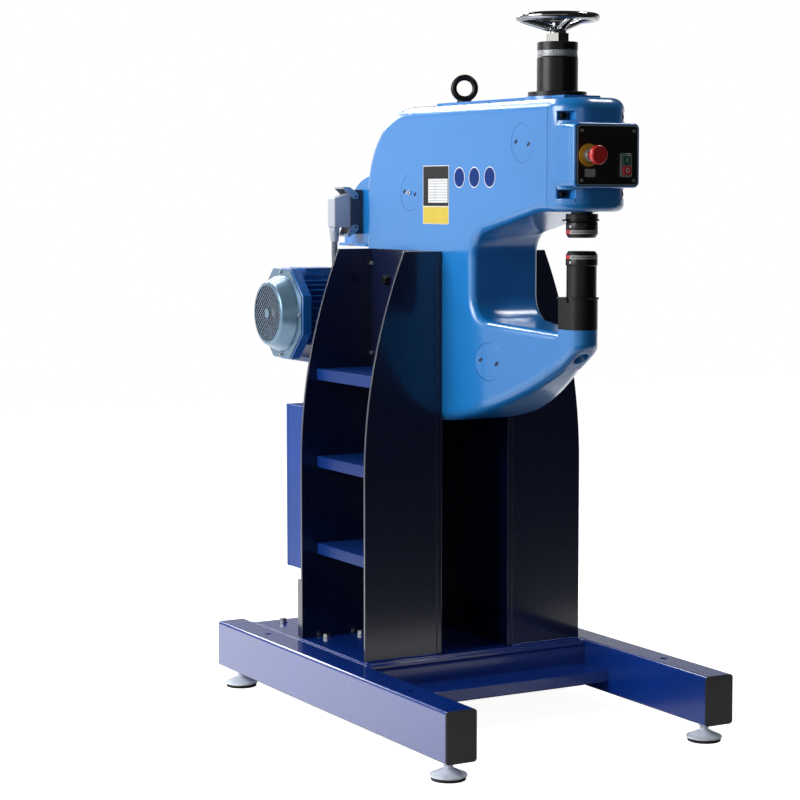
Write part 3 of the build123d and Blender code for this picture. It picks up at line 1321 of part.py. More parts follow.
with BuildPart() as estop_base:
    rod((estop_x, panel_front_y, estop_z), (0, -1, 0), estop_disc_radius, 2.5)
    rod((estop_x, panel_front_y - 2, estop_z), (0, -1, 0), estop_collar_radius, 12)
    chamfer(estop_base.faces().sort_by(Axis.Y)[0].outer_wire().edges(), 2)
    rod((estop_x, panel_front_y, estop_z), (0, 1, 0), 11 - running_clearance, panel_thickness + box_wall + 8)
    rod((estop_x, panel_front_y - 20, estop_z), (0, 1, 0), 8 + free_clearance, 40, Mode.SUBTRACT)
estop_base.part.label = "estop_base"
export_step(estop_base.part, "parts/estop_base.step")

with BuildPart() as estop_button:
    rod((estop_x, panel_front_y + 2, estop_z), (0, -1, 0), 8, panel_front_y + 2 - estop_front_y - 10)
    taper((estop_x, estop_front_y + 21, estop_z), (0, -1, 0), 14, estop_head_radius, 9)
    rod((estop_x, estop_front_y + 12, estop_z), (0, -1, 0), estop_head_radius, 12)
    fillet(estop_button.faces().sort_by(Axis.Y)[0].outer_wire().edges(), 5)
estop_button.part.label = "estop_button"
export_step(estop_button.part, "parts/estop_button.step")

with BuildPart() as switch_frame:
    with BuildSketch(Plane.XZ.offset(-panel_front_y)):
        with Locations((switch_x, switch_z)):
            RectangleRounded(switch_width, switch_height, 4)
        for z in (start_z, stop_z):
            with Locations((switch_x, z)):
                Rectangle(button_width, button_height, mode=Mode.SUBTRACT)
    extrude(amount=6)
switch_frame.part.label = "switch_frame"
export_step(switch_frame.part, "parts/switch_frame.step")

with BuildPart() as start_button:
    slab(switch_x - button_width / 2 + free_clearance, switch_x + button_width / 2 - free_clearance,
         panel_front_y - 8.5, panel_front_y + 5, start_z - button_height / 2 + free_clearance,
         start_z + button_height / 2 - free_clearance)
    fillet(start_button.faces().sort_by(Axis.Y)[0].edges(), 1.2)
start_button.part.label = "start_button"
export_step(start_button.part, "parts/start_button.step")

with BuildPart() as stop_button:
    slab(switch_x - button_width / 2 + free_clearance, switch_x + button_width / 2 - free_clearance,
         panel_front_y - 10.5, panel_front_y + 5, stop_z - button_height / 2 + free_clearance,
         stop_z + button_height / 2 - free_clearance)
    fillet(stop_button.faces().sort_by(Axis.Y)[0].edges(), 1.2)
stop_button.part.label = "stop_button"
export_step(stop_button.part, "parts/stop_button.step")

# Connector on the drive housing
half_c = connector_thick / 2
lever_pivot_x = connector_base_x + 14.0
lever_bar_x = connector_base_x - 4.0
lever_reach = 18.0
lever_sheet = 2.5
lever_round = 8.0

with BuildPart() as connector_base:
    slab(connector_base_x, housing_near_x, connector_y - half_c, connector_y + half_c,
         connector_low, connector_high)
    fillet(connector_base.edges().filter_by(Axis.X), 5)
    for z in (connector_low + lever_reach, connector_high - lever_reach):
        rod((lever_pivot_x, connector_y - half_c - lever_sheet - 1, z), (0, 1, 0), 3,
            connector_thick + 2 * lever_sheet + 2)
connector_base.part.label = "connector_base"
export_step(connector_base.part, "parts/connector_base.step")

with BuildPart() as connector_hood:
    with BuildSketch(Plane.XZ.offset(-(connector_y + half_c - 2))):
        with BuildLine():
            Polyline(
                (connector_base_x, hood_low),
                (connector_base_x, hood_high),
                (hood_x, hood_high - hood_slope),
                (hood_x, hood_low),
                close=True,
            )
        make_face()
    extrude(amount=connector_thick - 4)
    fillet(connector_hood.faces().sort_by(Axis.X)[0].edges(), hood_round)
connector_hood.part.label = "connector_hood"
export_step(connector_hood.part, "parts/connector_hood.step")


def lever_outline(pivot_z, outward, overhang):
    """Side view of a locking lever: an arm from its pivot to the bar over the hood's shoulder."""
    with BuildSketch(Plane.XZ.offset(-(connector_y + half_c + lever_sheet + 0.5))) as arm:
        with BuildLine():
            Polyline(
                (lever_pivot_x + 7, pivot_z - outward * 6),
                (lever_pivot_x + 7, pivot_z + outward * 8),
                (lever_bar_x, pivot_z + outward * (lever_reach + 7)),
                (lever_bar_x - overhang, pivot_z + outward * (lever_reach + 7)),
                (lever_bar_x - overhang, pivot_z + outward * (lever_reach + 2)),
                (lever_bar_x, pivot_z + outward * 2),
                (lever_pivot_x - 7, pivot_z - outward * 6),
                close=True,
            )
        make_face()
        fillet(nearest(arm.vertices(), lever_bar_x, pivot_z + outward * (lever_reach + 7)), lever_round)
        fillet(nearest(arm.vertices(), lever_pivot_x + 7, pivot_z + outward * 8), lever_round)
        fillet(nearest(arm.vertices(), lever_pivot_x + 7, pivot_z - outward * 6), lever_round - 3)
        fillet(nearest(arm.vertices(), lever_pivot_x - 7, pivot_z - outward * 6), lever_round - 3)
    return arm.sketch


with BuildPart() as lever_top:
    pivot_z = connector_high - lever_reach
    extrude(lever_outline(pivot_z, 1, 20), amount=connector_thick + 2 * lever_sheet + 1)
    slab(lever_bar_x - 30, housing_near_x, connector_y - half_c - 0.5, connector_y + half_c + 0.5,
         pivot_z - 20, pivot_z + lever_reach + 2, Mode.SUBTRACT)
    rod((lever_pivot_x, connector_y - 60, pivot_z), (0, 1, 0), 3 + running_clearance, 120, Mode.SUBTRACT)
lever_top.part.label = "lever_top"
export_step(lever_top.part, "parts/lever_top.step")

with BuildPart() as lever_bottom:
    pivot_z = connector_low + lever_reach
    extrude(lever_outline(pivot_z, -1, 8), amount=connector_thick + 2 * lever_sheet + 1)
    slab(lever_bar_x - 30, housing_near_x, connector_y - half_c - 0.5, connector_y + half_c + 0.5,
         pivot_z - lever_reach - 2, pivot_z + 20, Mode.SUBTRACT)
    rod((lever_pivot_x, connector_y - 60, pivot_z), (0, 1, 0), 3 + running_clearance, 120, Mode.SUBTRACT)
lever_bottom.part.label = "lever_bottom"
export_step(lever_bottom.part, "parts/lever_bottom.step")

# Conduit from the hood down to the cabinet
conduit_top = hood_low - gland_height
conduit_low = cabinet_high + gland_height

with BuildPart() as cable_glands:
    for x, y, z, down in ((gland_x, connector_y, hood_low, -1), (gland_x, conduit_front_y, cabinet_high, 1)):
        hex_bar((x, y, z), (0, 0, down), 2 * gland_radius, gland_nut)
        taper((x, y, z + down * (gland_nut - 1)), (0, 0, down), gland_radius, gland_radius - gland_taper,
              gland_height - gland_nut + 1)
cable_glands.part.label = "cable_glands"
export_step(cable_glands.part, "parts/cable_glands.step")

with BuildLine() as conduit_route:
    FilletPolyline(
        (gland_x, connector_y, conduit_top),
        (gland_x, connector_y, conduit_top - 64),
        (gland_x, conduit_front_y, conduit_top - 174),
        (gland_x, conduit_front_y, conduit_low),
        radius=[72, 160],
    )
route = conduit_route.wires()[0]
rib_count = int((route.length - 4 * conduit_radius) / conduit_pitch)
rib_start = (route.length - rib_count * conduit_pitch) / 2
rings = [(0.0, conduit_valley)]
for number in range(rib_count):
    start = rib_start + number * conduit_pitch
    rings.append((start, conduit_valley))
    rings.append((start + 0.22 * conduit_pitch, conduit_radius))
    rings.append((start + 0.58 * conduit_pitch, conduit_radius))
    rings.append((start + 0.80 * conduit_pitch, conduit_valley))
rings.append((route.length, conduit_valley))

with BuildPart() as conduit:
    for distance, radius in rings:
        place = distance / route.length
        with BuildSketch(Plane(route @ place, x_dir=(1, 0, 0), z_dir=route % place)):
            Circle(radius)
    loft(ruled=True)
    with BuildSketch(Plane(route @ 0, x_dir=(1, 0, 0), z_dir=route % 0)):
        Circle(conduit_bore)
    sweep(path=route, mode=Mode.SUBTRACT)
conduit.part.label = "conduit"
export_step(conduit.part, "parts/conduit.step")

# Switch cabinet
cabinet_front_y = stand_rear_y
cabinet_rear_y = cabinet_front_y + cabinet_depth
hinge_x = cabinet_half - 4.0
lock_x = lock_inset - cabinet_half
hinge_y = cabinet_rear_y + door_depth / 2
hinge_knuckle = 16.0
hinge_pin_radius = 2.0
hinge_zs = (cabinet_low + 40.0, cabinet_high - 40.0 - 2 * hinge_knuckle)

with BuildPart() as cabinet:
    slab(-cabinet_half, cabinet_half, cabinet_front_y, cabinet_rear_y, cabinet_low, cabinet_high)
    fillet(cabinet.edges().filter_by(Axis.Y), 4)
    slab(-cabinet_half + cabinet_sheet, cabinet_half - cabinet_sheet, cabinet_front_y + cabinet_sheet,
         cabinet_rear_y + 1, cabinet_low + cabinet_sheet, cabinet_high - cabinet_sheet, Mode.SUBTRACT)
    for z in hinge_zs:
        slab(hinge_x - 3, hinge_x + 3, cabinet_rear_y - 10, hinge_y, z, z + hinge_knuckle)
        rod((hinge_x, hinge_y, z), (0, 0, 1), 4, hinge_knuckle)
        rod((hinge_x, hinge_y, z), (0, 0, 1), hinge_pin_radius, 2 * hinge_knuckle)
cabinet.part.label = "cabinet"
export_step(cabinet.part, "parts/cabinet.step")

with BuildPart() as cabinet_door:
    slab(-cabinet_half, hinge_x - 5, cabinet_rear_y + 1, cabinet_rear_y + door_depth, cabinet_low, cabinet_high)
    slab(-cabinet_half + cabinet_sheet, hinge_x - 5 - cabinet_sheet, cabinet_rear_y,
         cabinet_rear_y + door_depth - cabinet_sheet, cabinet_low + cabinet_sheet,
         cabinet_high - cabinet_sheet, Mode.SUBTRACT)
    rod((lock_x, cabinet_rear_y, (cabinet_low + cabinet_high) / 2), (0, 1, 0), 10 + running_clearance, 30,
        Mode.SUBTRACT)
    for z in hinge_zs:
        rod((hinge_x, hinge_y, z + hinge_knuckle + 0.2), (0, 0, 1), 4, hinge_knuckle - 0.2)
        slab(hinge_x - 7, hinge_x, hinge_y - 2, hinge_y + 2, z + hinge_knuckle + 0.2, z + 2 * hinge_knuckle)
        rod((hinge_x, hinge_y, z), (0, 0, 1), hinge_pin_radius + running_clearance, 3 * hinge_knuckle,
            Mode.SUBTRACT)
cabinet_door.part.label = "cabinet_door"
export_step(cabinet_door.part, "parts/cabinet_door.step")

with BuildPart() as door_lock:
    lock_z = (cabinet_low + cabinet_high) / 2
    rod((lock_x, cabinet_rear_y + 4, lock_z), (0, 1, 0), 10, door_depth - 4)
    rod((lock_x, cabinet_rear_y + door_depth, lock_z), (0, 1, 0), 14, 3)
    slab(lock_x - 2, lock_x + 2, cabinet_rear_y + door_depth + 1, cabinet_rear_y + door_depth + 4,
         lock_z - 9, lock_z + 9, Mode.SUBTRACT)
    slab(lock_x - 19, lock_x + 8, cabinet_rear_y - 6, cabinet_rear_y - 3, lock_z - 8, lock_z + 8)
    rod((lock_x, cabinet_rear_y - 6, lock_z), (0, 1, 0), 5, 12)
door_lock.part.label = "door_lock"
export_step(door_lock.part, "parts/door_lock.step")
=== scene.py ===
import math

import bmesh
import bpy
from mathutils import Matrix, Vector


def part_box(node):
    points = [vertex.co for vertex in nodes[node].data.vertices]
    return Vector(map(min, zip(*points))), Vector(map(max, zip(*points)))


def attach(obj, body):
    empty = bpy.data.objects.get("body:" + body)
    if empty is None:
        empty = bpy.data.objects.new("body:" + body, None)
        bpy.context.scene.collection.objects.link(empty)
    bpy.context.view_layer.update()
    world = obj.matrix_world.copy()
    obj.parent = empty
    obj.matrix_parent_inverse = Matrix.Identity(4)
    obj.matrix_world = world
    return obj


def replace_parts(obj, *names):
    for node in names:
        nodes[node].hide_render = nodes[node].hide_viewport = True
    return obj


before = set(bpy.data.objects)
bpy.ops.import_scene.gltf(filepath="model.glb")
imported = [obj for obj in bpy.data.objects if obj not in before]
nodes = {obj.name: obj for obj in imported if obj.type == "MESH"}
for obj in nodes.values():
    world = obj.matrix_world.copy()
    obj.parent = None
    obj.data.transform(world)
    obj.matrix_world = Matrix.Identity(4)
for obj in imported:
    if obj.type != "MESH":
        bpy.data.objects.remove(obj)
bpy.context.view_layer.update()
scene = bpy.context.scene


# The studio: a pale floor that runs into a white room, a large soft lamp high on the operator's left,
# strips behind, a small lamp overhead and a dark side at the front, so that the front faces stay deep.
def placed(name, data):
    """A new object, linked to the scene."""
    piece = bpy.data.objects.new(name, data)
    scene.collection.objects.link(piece)
    return piece


scene.view_settings.view_transform = "Standard"
camera = placed("camera", bpy.data.cameras.new("camera"))
camera.data.lens = 98.42
camera.data.sensor_width = 36.0
camera.data.shift_y = -0.04
camera.location = (-2.8206, -4.6326, 1.3052)
camera.rotation_euler = (math.radians(85.465), 0, math.radians(-29.506))
scene.camera = camera


def soft_lamp(name, place, target, width, height, watts):
    """A rectangular lamp at a place, turned to face a target."""
    lamp = placed(name, bpy.data.lights.new(name, "AREA"))
    lamp.data.shape = "RECTANGLE"
    lamp.data.size = width
    lamp.data.size_y = height
    lamp.data.energy = watts
    lamp.location = place
    lamp.rotation_euler = (Vector(target) - Vector(place)).to_track_quat("-Z", "Y").to_euler()


soft_lamp("left_lamp", (-3.7, 0.3, 2.4), (0, 0, 0.9), 2.6, 2.0, 160)
soft_lamp("rear_strip", (-0.4, 2.7, 2.95), (0, 0, 1.0), 2.6, 0.4, 36)
soft_lamp("far_strip", (-0.3, 4.8, 2.7), (0, 0, 0.3), 3.0, 0.6, 44)
soft_lamp("high_strip", (-1.2, 2.2, 3.9), (-0.1, -0.3, 1.0), 1.4, 0.32, 44)
soft_lamp("right_strip", (0.75, 2.7, 3.55), (-0.1, -0.3, 1.0), 1.4, 0.26, 34)
soft_lamp("roof_lamp", (1.5, -0.4, 3.6), (0, -0.2, 1.0), 0.9, 0.5, 22)
soft_lamp("front_fill", (-1.4, -4.6, 2.0), (0, 0, 0.9), 1.6, 1.6, 8)


def grow(tree, kind, inputs=(), **settings):
    """Adds one node to a tree. Each input is a socket with a value, an output or a node's first output."""
    node = tree.nodes.new(kind)
    for setting, value in settings.items():
        setattr(node, setting, value)
    for socket, value in inputs:
        if isinstance(value, bpy.types.Node):
            value = value.outputs[0]
        if isinstance(value, bpy.types.NodeSocket):
            tree.links.new(value, node.inputs[socket])
        else:
            node.inputs[socket].default_value = value
    return node


def work_out(operation, first, second=0.0):
    """One arithmetic step between two values, in the tree that they come from."""
    tree = (first if isinstance(first, bpy.types.NodeSocket) else second).id_data
    return grow(tree, "ShaderNodeMath", [(0, first), (1, second)], operation=operation).outputs[0]


def parts_of(vector):
    """The X, Y and Z outputs of a vector."""
    return grow(vector.id_data, "ShaderNodeSeparateXYZ", [(0, vector)]).outputs


def smooth_step(value, low, high, out_low, out_high):
    """A smooth change from one level to another, while a value goes from low to high."""
    step = grow(value.id_data, "ShaderNodeMapRange", [("Value", value), ("From Min", low), ("From Max", high),
                                                      ("To Min", out_low), ("To Max", out_high)],
                interpolation_type="SMOOTHSTEP")
    return step.outputs["Result"]


room = bpy.data.worlds.new("room")
scene.world = room
room.use_nodes = True
sky = room.node_tree
ray = grow(sky, "ShaderNodeLightPath").outputs
toward = parts_of(grow(sky, "ShaderNodeTexCoord").outputs["Generated"])
rear_wall = smooth_step(toward["Y"], -0.1, 0.4, 0.0, 1.0)
left_wall = smooth_step(toward["X"], -0.75, -0.35, 1.0, 0.0)
low_wall = smooth_step(toward["Z"], 0.04, 0.19, 1.0, 0.35)
dark_roof = smooth_step(toward["Z"], 0.2, 0.26, 1.0, 0.1)
walls = work_out("MULTIPLY", work_out("MAXIMUM", rear_wall, left_wall), work_out("MULTIPLY", low_wall, dark_roof))
mirrored = work_out("MAXIMUM", walls, 0.03)
direct = work_out("MAXIMUM", ray["Is Camera Ray"], ray["Is Transmission Ray"])
shown = work_out("MULTIPLY", ray["Is Glossy Ray"], mirrored)
fill = work_out("MULTIPLY", work_out("SUBTRACT", 1.0, ray["Is Glossy Ray"]), 0.12)
light = work_out("MAXIMUM", direct, work_out("ADD", shown, fill))
sky.links.new(light, sky.nodes["Background"].inputs["Strength"])
sky.nodes["Background"].inputs["Color"].default_value = (1, 1, 1, 1)

half_floor = 8.0
floor_mesh = bpy.data.meshes.new("floor")
floor_mesh.from_pydata([(x * half_floor, y * half_floor, 0) for x, y in ((-1, -1), (1, -1), (1, 1), (-1, 1))],
                       [], [(0, 1, 2, 3)])
floor = placed("floor", floor_mesh)
floor_paint = bpy.data.materials.new("pale_floor")
floor_paint.use_nodes = True
ground = floor_paint.node_tree
floor_ray = grow(ground, "ShaderNodeLightPath").outputs
floor_spot = grow(ground, "ShaderNodeTexCoord").outputs["Object"]
floor_reach = grow(ground, "ShaderNodeVectorMath", [(0, floor_spot)], operation="LENGTH").outputs["Value"]
along = parts_of(floor_spot)
floor_glow = smooth_step(floor_reach, 0.9, 2.6, 0.95, 0.98)
floor_front = smooth_step(along["Y"], -1.3, -0.7, 0.08, 0.6)
# Painted light: the floor's glow in reflections, bright beside and beyond the machine, cut away beneath it as
# shade.
beside = work_out("MAXIMUM", smooth_step(along["X"], -0.46, -0.38, 1.0, 0.0),
                  smooth_step(along["X"], 0.45, 1.2, 0.0, 1.0))
beyond = smooth_step(work_out("ABSOLUTE", along["Y"]), 0.62, 0.9, 0.0, 1.0)
painted_floor_glare = work_out("MULTIPLY", work_out("MAXIMUM", beside, beyond),
                        smooth_step(along["Y"], -1.3, -0.7, 0.0, 0.8))
floor_seen = work_out("MULTIPLY", floor_glow, floor_ray["Is Camera Ray"])
floor_light = grow(ground, "ShaderNodeMath", [(0, floor_ray["Is Glossy Ray"]), (1, painted_floor_glare), (2, floor_seen)],
                   operation="MULTIPLY_ADD").outputs[0]
floor_shader = ground.nodes["Principled BSDF"].inputs
floor_shader["Roughness"].default_value = 0.9
floor_shader["Specular IOR Level"].default_value = 0.0
floor_shader["Emission Color"].default_value = (1, 1, 1, 1)
ground.links.new(floor_front, floor_shader["Base Color"])
ground.links.new(floor_light, floor_shader["Emission Strength"])
floor_mesh.materials.append(floor_paint)


# Floor frame: two long box rails with cross tubes, a folded brace and a deck welded between them.
# Dark blue gloss powder coat all over, with moulded plastic caps pushed into the rail ends.
def shaded(colour, factor=1.0):
    """A colour given as 0 to 255 on a screen, made darker or lighter, as the linear one a shader takes."""
    shares = [value / 255 for value in colour]
    linear = [s / 12.92 if s <= 0.04045 else ((s + 0.055) / 1.055) ** 2.4 for s in shares]
    return (*[min(1.0, channel * factor) for channel in linear], 1.0)


def finish(name, colour, roughness, metallic=0.0, coat=0.0, clouds=5.0, mottle=0.1, grain=700.0, relief=0.08,
           stretch=(1, 1, 1), sheen=0.5, uneven=0.15):
    """A surface with cloudy colour, uneven gloss and a fine relief. Stretch draws the grain out."""
    material = bpy.data.materials.new(name)
    material.use_nodes = True
    tree = material.node_tree
    shader = tree.nodes["Principled BSDF"].inputs
    place = grow(tree, "ShaderNodeTexCoord").outputs["Object"]
    cloud = grow(tree, "ShaderNodeTexNoise", [("Vector", place), ("Scale", clouds), ("Detail", 5)])
    tint = grow(tree, "ShaderNodeValToRGB", [("Fac", cloud.outputs["Fac"])])
    for stop, position, factor in zip(tint.color_ramp.elements, (0.32, 0.68), (1 - mottle, 1 + mottle)):
        stop.position = position
        stop.color = shaded(colour, factor)
    turn = grow(tree, "ShaderNodeMapping", [("Vector", place), ("Scale", stretch)])
    speckle = grow(tree, "ShaderNodeTexNoise",
                   [("Vector", turn.outputs["Vector"]), ("Scale", grain), ("Detail", 2)]).outputs["Fac"]
    gloss = grow(tree, "ShaderNodeMapRange",
                 [("Value", speckle), ("From Min", 0.3), ("From Max", 0.7), ("To Min", roughness * (1 - uneven)),
                  ("To Max", roughness * (1 + uneven))])
    bump = grow(tree, "ShaderNodeBump", [("Height", speckle), ("Strength", relief), ("Distance", 0.0002)])
    tree.links.new(tint.outputs["Color"], shader["Base Color"])
    tree.links.new(gloss.outputs["Result"], shader["Roughness"])
    tree.links.new(bump.outputs["Normal"], shader["Normal"])
    shader["Metallic"].default_value = metallic
    shader["Coat Weight"].default_value = coat
    shader["Coat Roughness"].default_value = 0.1
    shader["Specular IOR Level"].default_value = sheen
    return material


def coat_nodes(material, *names):
    """Puts one finish on pieces that keep their CAD shape."""
    for name in names:
        nodes[name].data.materials.clear()
        nodes[name].data.materials.append(material)


def set_piece(name, mesh, material, body):
    """A finished mesh as a piece of the machine that rides on one of its bodies."""
    if material is not None:
        mesh.materials.clear()
        mesh.materials.append(material)
    piece = placed(name, mesh)
    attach(piece, body)
    return piece


def baked_mesh(piece):
    """The piece with its modifiers worked in, as a plain mesh."""
    bpy.context.view_layer.update()
    shaped = piece.evaluated_get(bpy.context.evaluated_depsgraph_get())
    return bpy.data.meshes.new_from_object(shaped)


def broken_edges(node, edge, material, body="frame", sharp=35.0):
    """A merged copy of a CAD piece with its sharp edges rounded off, which stands for that piece."""
    shape = bmesh.new()
    shape.from_mesh(nodes[node].data)
    bmesh.ops.remove_doubles(shape, verts=shape.verts, dist=2e-6)
    bmesh.ops.dissolve_limit(shape, angle_limit=math.radians(0.4), verts=shape.verts, edges=shape.edges)
    shape.verts.index_update()
    rough = bpy.data.meshes.new(node + "_rough")
    rough.from_pydata([v.co[:] for v in shape.verts], [], [[v.index for v in f.verts] for f in shape.faces])
    shape.free()
    rough.shade_smooth()
    blank = placed(node + "_blank", rough)
    bevel = blank.modifiers.new("edges", "BEVEL")
    bevel.width = edge
    bevel.segments = 2
    bevel.limit_method = "ANGLE"
    bevel.angle_limit = math.radians(sharp)
    bevel.use_clamp_overlap = False
    bevel.harden_normals = True
    mesh = baked_mesh(blank)
    bpy.data.objects.remove(blank)
    piece = set_piece(node + "_edged", mesh, material, body)
    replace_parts(piece, node)


rail_paint = finish("rail_paint", (6, 50, 136), 0.24, coat=0.95, clouds=4, mottle=0.08, grain=420,
                    relief=0.012, sheen=0.8)
coat_nodes(rail_paint, "side_rails", "cross_tubes")
broken_edges("base_plate", 0.0012, rail_paint)
broken_edges("front_brace", 0.0012, rail_paint)
end_cap_paint = finish("end_cap_plastic", (46, 46, 49), 0.5, mottle=0.12, grain=900, relief=0.15)
broken_edges("rail_end_caps", 0.0016, end_cap_paint)


# Weld seams: short runs of bead where the front plates meet the deck and the deck meets the rails.
# Laid by hand, so the scales vary a little, and painted over with the frame.
def growth_tree(name, sizes):
    """A new Geometry Nodes tree with one named input for each size."""
    tree = bpy.data.node_groups.new(name, "GeometryNodeTree")
    tree.interface.new_socket("Start", in_out="INPUT", socket_type="NodeSocketGeometry")
    tree.interface.new_socket("Grown", in_out="OUTPUT", socket_type="NodeSocketGeometry")
    for size, value in sizes.items():
        tree.interface.new_socket(size, in_out="INPUT", socket_type="NodeSocketFloat").default_value = value
    return tree, tree.nodes.new("NodeGroupInput").outputs


def vector_of(tree, **parts):
    """A vector of a tree, from the parts that are given."""
    return grow(tree, "ShaderNodeCombineXYZ", parts.items())


def close_tree(tree, geometry, material):
    """Ends a tree: its instances become real mesh with one material."""
    solid = grow(tree, "GeometryNodeRealizeInstances", [("Geometry", geometry)])
    skin = grow(tree, "GeometryNodeSetMaterial", [("Geometry", solid), ("Material", material)])
    tree.links.new(skin.outputs[0], tree.nodes.new("NodeGroupOutput").inputs["Grown"])


def grown_mesh(tree, start, sizes):
    """Runs a tree on a start mesh and gives back the plain mesh."""
    blank = placed(tree.name + "_start", start)
    growth = blank.modifiers.new("growth", "NODES")
    growth.node_group = tree
    for socket in tree.interface.items_tree:
        if socket.name in sizes:
            growth[socket.identifier] = sizes[socket.name]
    mesh = baked_mesh(blank)
    bpy.data.objects.remove(blank)
    return mesh


bead_tree, bead_in = growth_tree("weld_bead", {"Bead width": 0.006, "Scale pitch": 0.0028})
bead_line = grow(bead_tree, "GeometryNodeMeshToCurve", [("Mesh", bead_in["Start"])])
bead_points = grow(bead_tree, "GeometryNodeCurveToPoints",
                   [("Curve", bead_line), ("Length", bead_in["Scale pitch"])], mode="LENGTH")
bead_radius = work_out("MULTIPLY", bead_in["Bead width"], 0.5)
bead_scale = grow(bead_tree, "GeometryNodeMeshIcoSphere", [("Radius", bead_radius), ("Subdivisions", 2)])
bead_size = grow(bead_tree, "FunctionNodeRandomValue",
                 [("Min", (0.85, 0.85, 0.8)), ("Max", (1.1, 1.1, 1.0)), ("Seed", 7)], data_type="FLOAT_VECTOR")
bead_row = grow(bead_tree, "GeometryNodeInstanceOnPoints",
                [("Points", bead_points), ("Instance", bead_scale), ("Scale", bead_size.outputs["Value"])])
bead_smooth = grow(bead_tree, "GeometryNodeSetShadeSmooth", [("Geometry", bead_row)])
close_tree(bead_tree, bead_smooth, rail_paint)
plate_inner, plate_outer, plate_front, plate_bottom = 0.114, 0.308, -0.029, 0.1712
deck_side, deck_front, deck_back, deck_seam = 0.3168, -0.044, 0.59, 0.1648
bead_runs = []
for side in (-1, 1):
    bead_runs.append([(side * x, plate_front, plate_bottom) for x in (plate_inner, plate_outer)])
for side in (-1, 1):
    bead_runs.append([(side * deck_side, y, deck_seam) for y in (deck_front, deck_back)])
bead_start = bpy.data.meshes.new("bead_runs")
bead_start.from_pydata([point for run in bead_runs for point in run],
                       [(i, i + 1) for i in range(0, 2 * len(bead_runs), 2)], [])
beads = grown_mesh(bead_tree, bead_start, {"Bead width": 0.0055})
set_piece("weld_seams", beads, None, "frame")

# Levelling feet: a zinc plated pressed dome on a moulded rubber sole, with a stud and lock nut.
# The dome is dull from the plating bath, and the stud is screwed into the rail and locked.
dull_zinc = finish("dull_zinc", (226, 232, 244), 0.45, clouds=40, mottle=0.12, grain=300, relief=0.1)
sole_rubber = finish("sole_rubber", (26, 26, 27), 0.75, mottle=0.15, grain=900, relief=0.3)
broken_edges("foot_pads", 0.0008, dull_zinc)
broken_edges("foot_rubbers", 0.0015, sole_rubber)

# Stand: thick inner walls that clamp the casting, curved front and rear plates and folded shelves.
# Laser cut sheet with welded corners, powder coated navy like the rails, with lighter shelves; the walls and
# plates are painted darker than the rails as painted shade.
stand_paint = finish("stand_paint", (4, 15, 48), 0.28, coat=0.9, clouds=3, mottle=0.08, grain=420,
                     relief=0.004, uneven=0.04)
shelf_paint = finish("shelf_paint", (10, 46, 112), 0.4, clouds=4, grain=420, relief=0.01, sheen=0.2)
for plate in ("inner_walls", "front_plates", "rear_plates"):
    broken_edges(plate, 0.0015, stand_paint)
broken_edges("shelves", 0.0012, shelf_paint)

# Frame bolts: hex heads with a plain washer, zinc plated on the base and black on the inner walls.
# They clamp the stand plate to the cross tubes and the walls to the casting.
bright_zinc = finish("bright_zinc", (176, 177, 178), 0.3, metallic=1.0, clouds=60, mottle=0.15, grain=400,
                     relief=0.1)
black_steel = finish("black_steel", (17, 18, 19), 0.34, clouds=30, mottle=0.2, grain=800, relief=0.06, sheen=0.25)
bolt_tree, bolt_in = growth_tree("hex_bolts", {"Across flats": 0.018, "Head height": 0.008,
                                               "Washer radius": 0.012, "Washer thickness": 0.0025})
corner_radius = work_out("MULTIPLY", bolt_in["Across flats"], 1 / math.sqrt(3))
side_share, crown_share, crown_width = 0.8, 0.2, 0.84
side_height = work_out("MULTIPLY", bolt_in["Head height"], side_share)
crown_height = work_out("MULTIPLY", bolt_in["Head height"], crown_share)
washer_middle = work_out("MULTIPLY", bolt_in["Washer thickness"], 0.5)
hexagon = grow(bolt_tree, "GeometryNodeMeshCircle", [("Vertices", 6), ("Radius", corner_radius)], fill_type="NGON")
sides_up = grow(bolt_tree, "GeometryNodeExtrudeMesh",
                [("Mesh", hexagon), ("Individual", False), ("Offset Scale", side_height)])
crown_up = grow(bolt_tree, "GeometryNodeExtrudeMesh",
                [("Mesh", sides_up), ("Selection", sides_up.outputs["Top"]),
                 ("Individual", False), ("Offset Scale", crown_height)])
crown = grow(bolt_tree, "GeometryNodeScaleElements",
             [("Geometry", crown_up), ("Selection", crown_up.outputs["Top"]), ("Scale", crown_width)])
under = grow(bolt_tree, "GeometryNodeFlipFaces", [("Mesh", hexagon)])
head_faces = grow(bolt_tree, "GeometryNodeJoinGeometry", [(0, crown), (0, under)])
head_closed = grow(bolt_tree, "GeometryNodeMergeByDistance", [("Geometry", head_faces), ("Distance", 1e-5)])
head_rise = vector_of(bolt_tree, Z=bolt_in["Washer thickness"])
head_set = grow(bolt_tree, "GeometryNodeTransform", [("Geometry", head_closed), ("Translation", head_rise)])
washer = grow(bolt_tree, "GeometryNodeMeshCylinder",
              [("Vertices", 28), ("Radius", bolt_in["Washer radius"]), ("Depth", bolt_in["Washer thickness"])])
washer_rise = vector_of(bolt_tree, Z=washer_middle)
washer_set = grow(bolt_tree, "GeometryNodeTransform", [("Geometry", washer), ("Translation", washer_rise)])
bolt_shape = grow(bolt_tree, "GeometryNodeJoinGeometry", [(0, head_set), (0, washer_set)])
bolt_facing = grow(bolt_tree, "GeometryNodeInputNamedAttribute", [("Name", "facing")], data_type="FLOAT_VECTOR")
bolt_turn = grow(bolt_tree, "FunctionNodeAlignRotationToVector",
                 [("Vector", bolt_facing.outputs["Attribute"])], axis="Z")
bolt_row = grow(bolt_tree, "GeometryNodeInstanceOnPoints",
                [("Points", bolt_in["Start"]), ("Instance", bolt_shape),
                 ("Rotation", bolt_turn.outputs["Rotation"])])
close_tree(bolt_tree, bolt_row, bright_zinc)


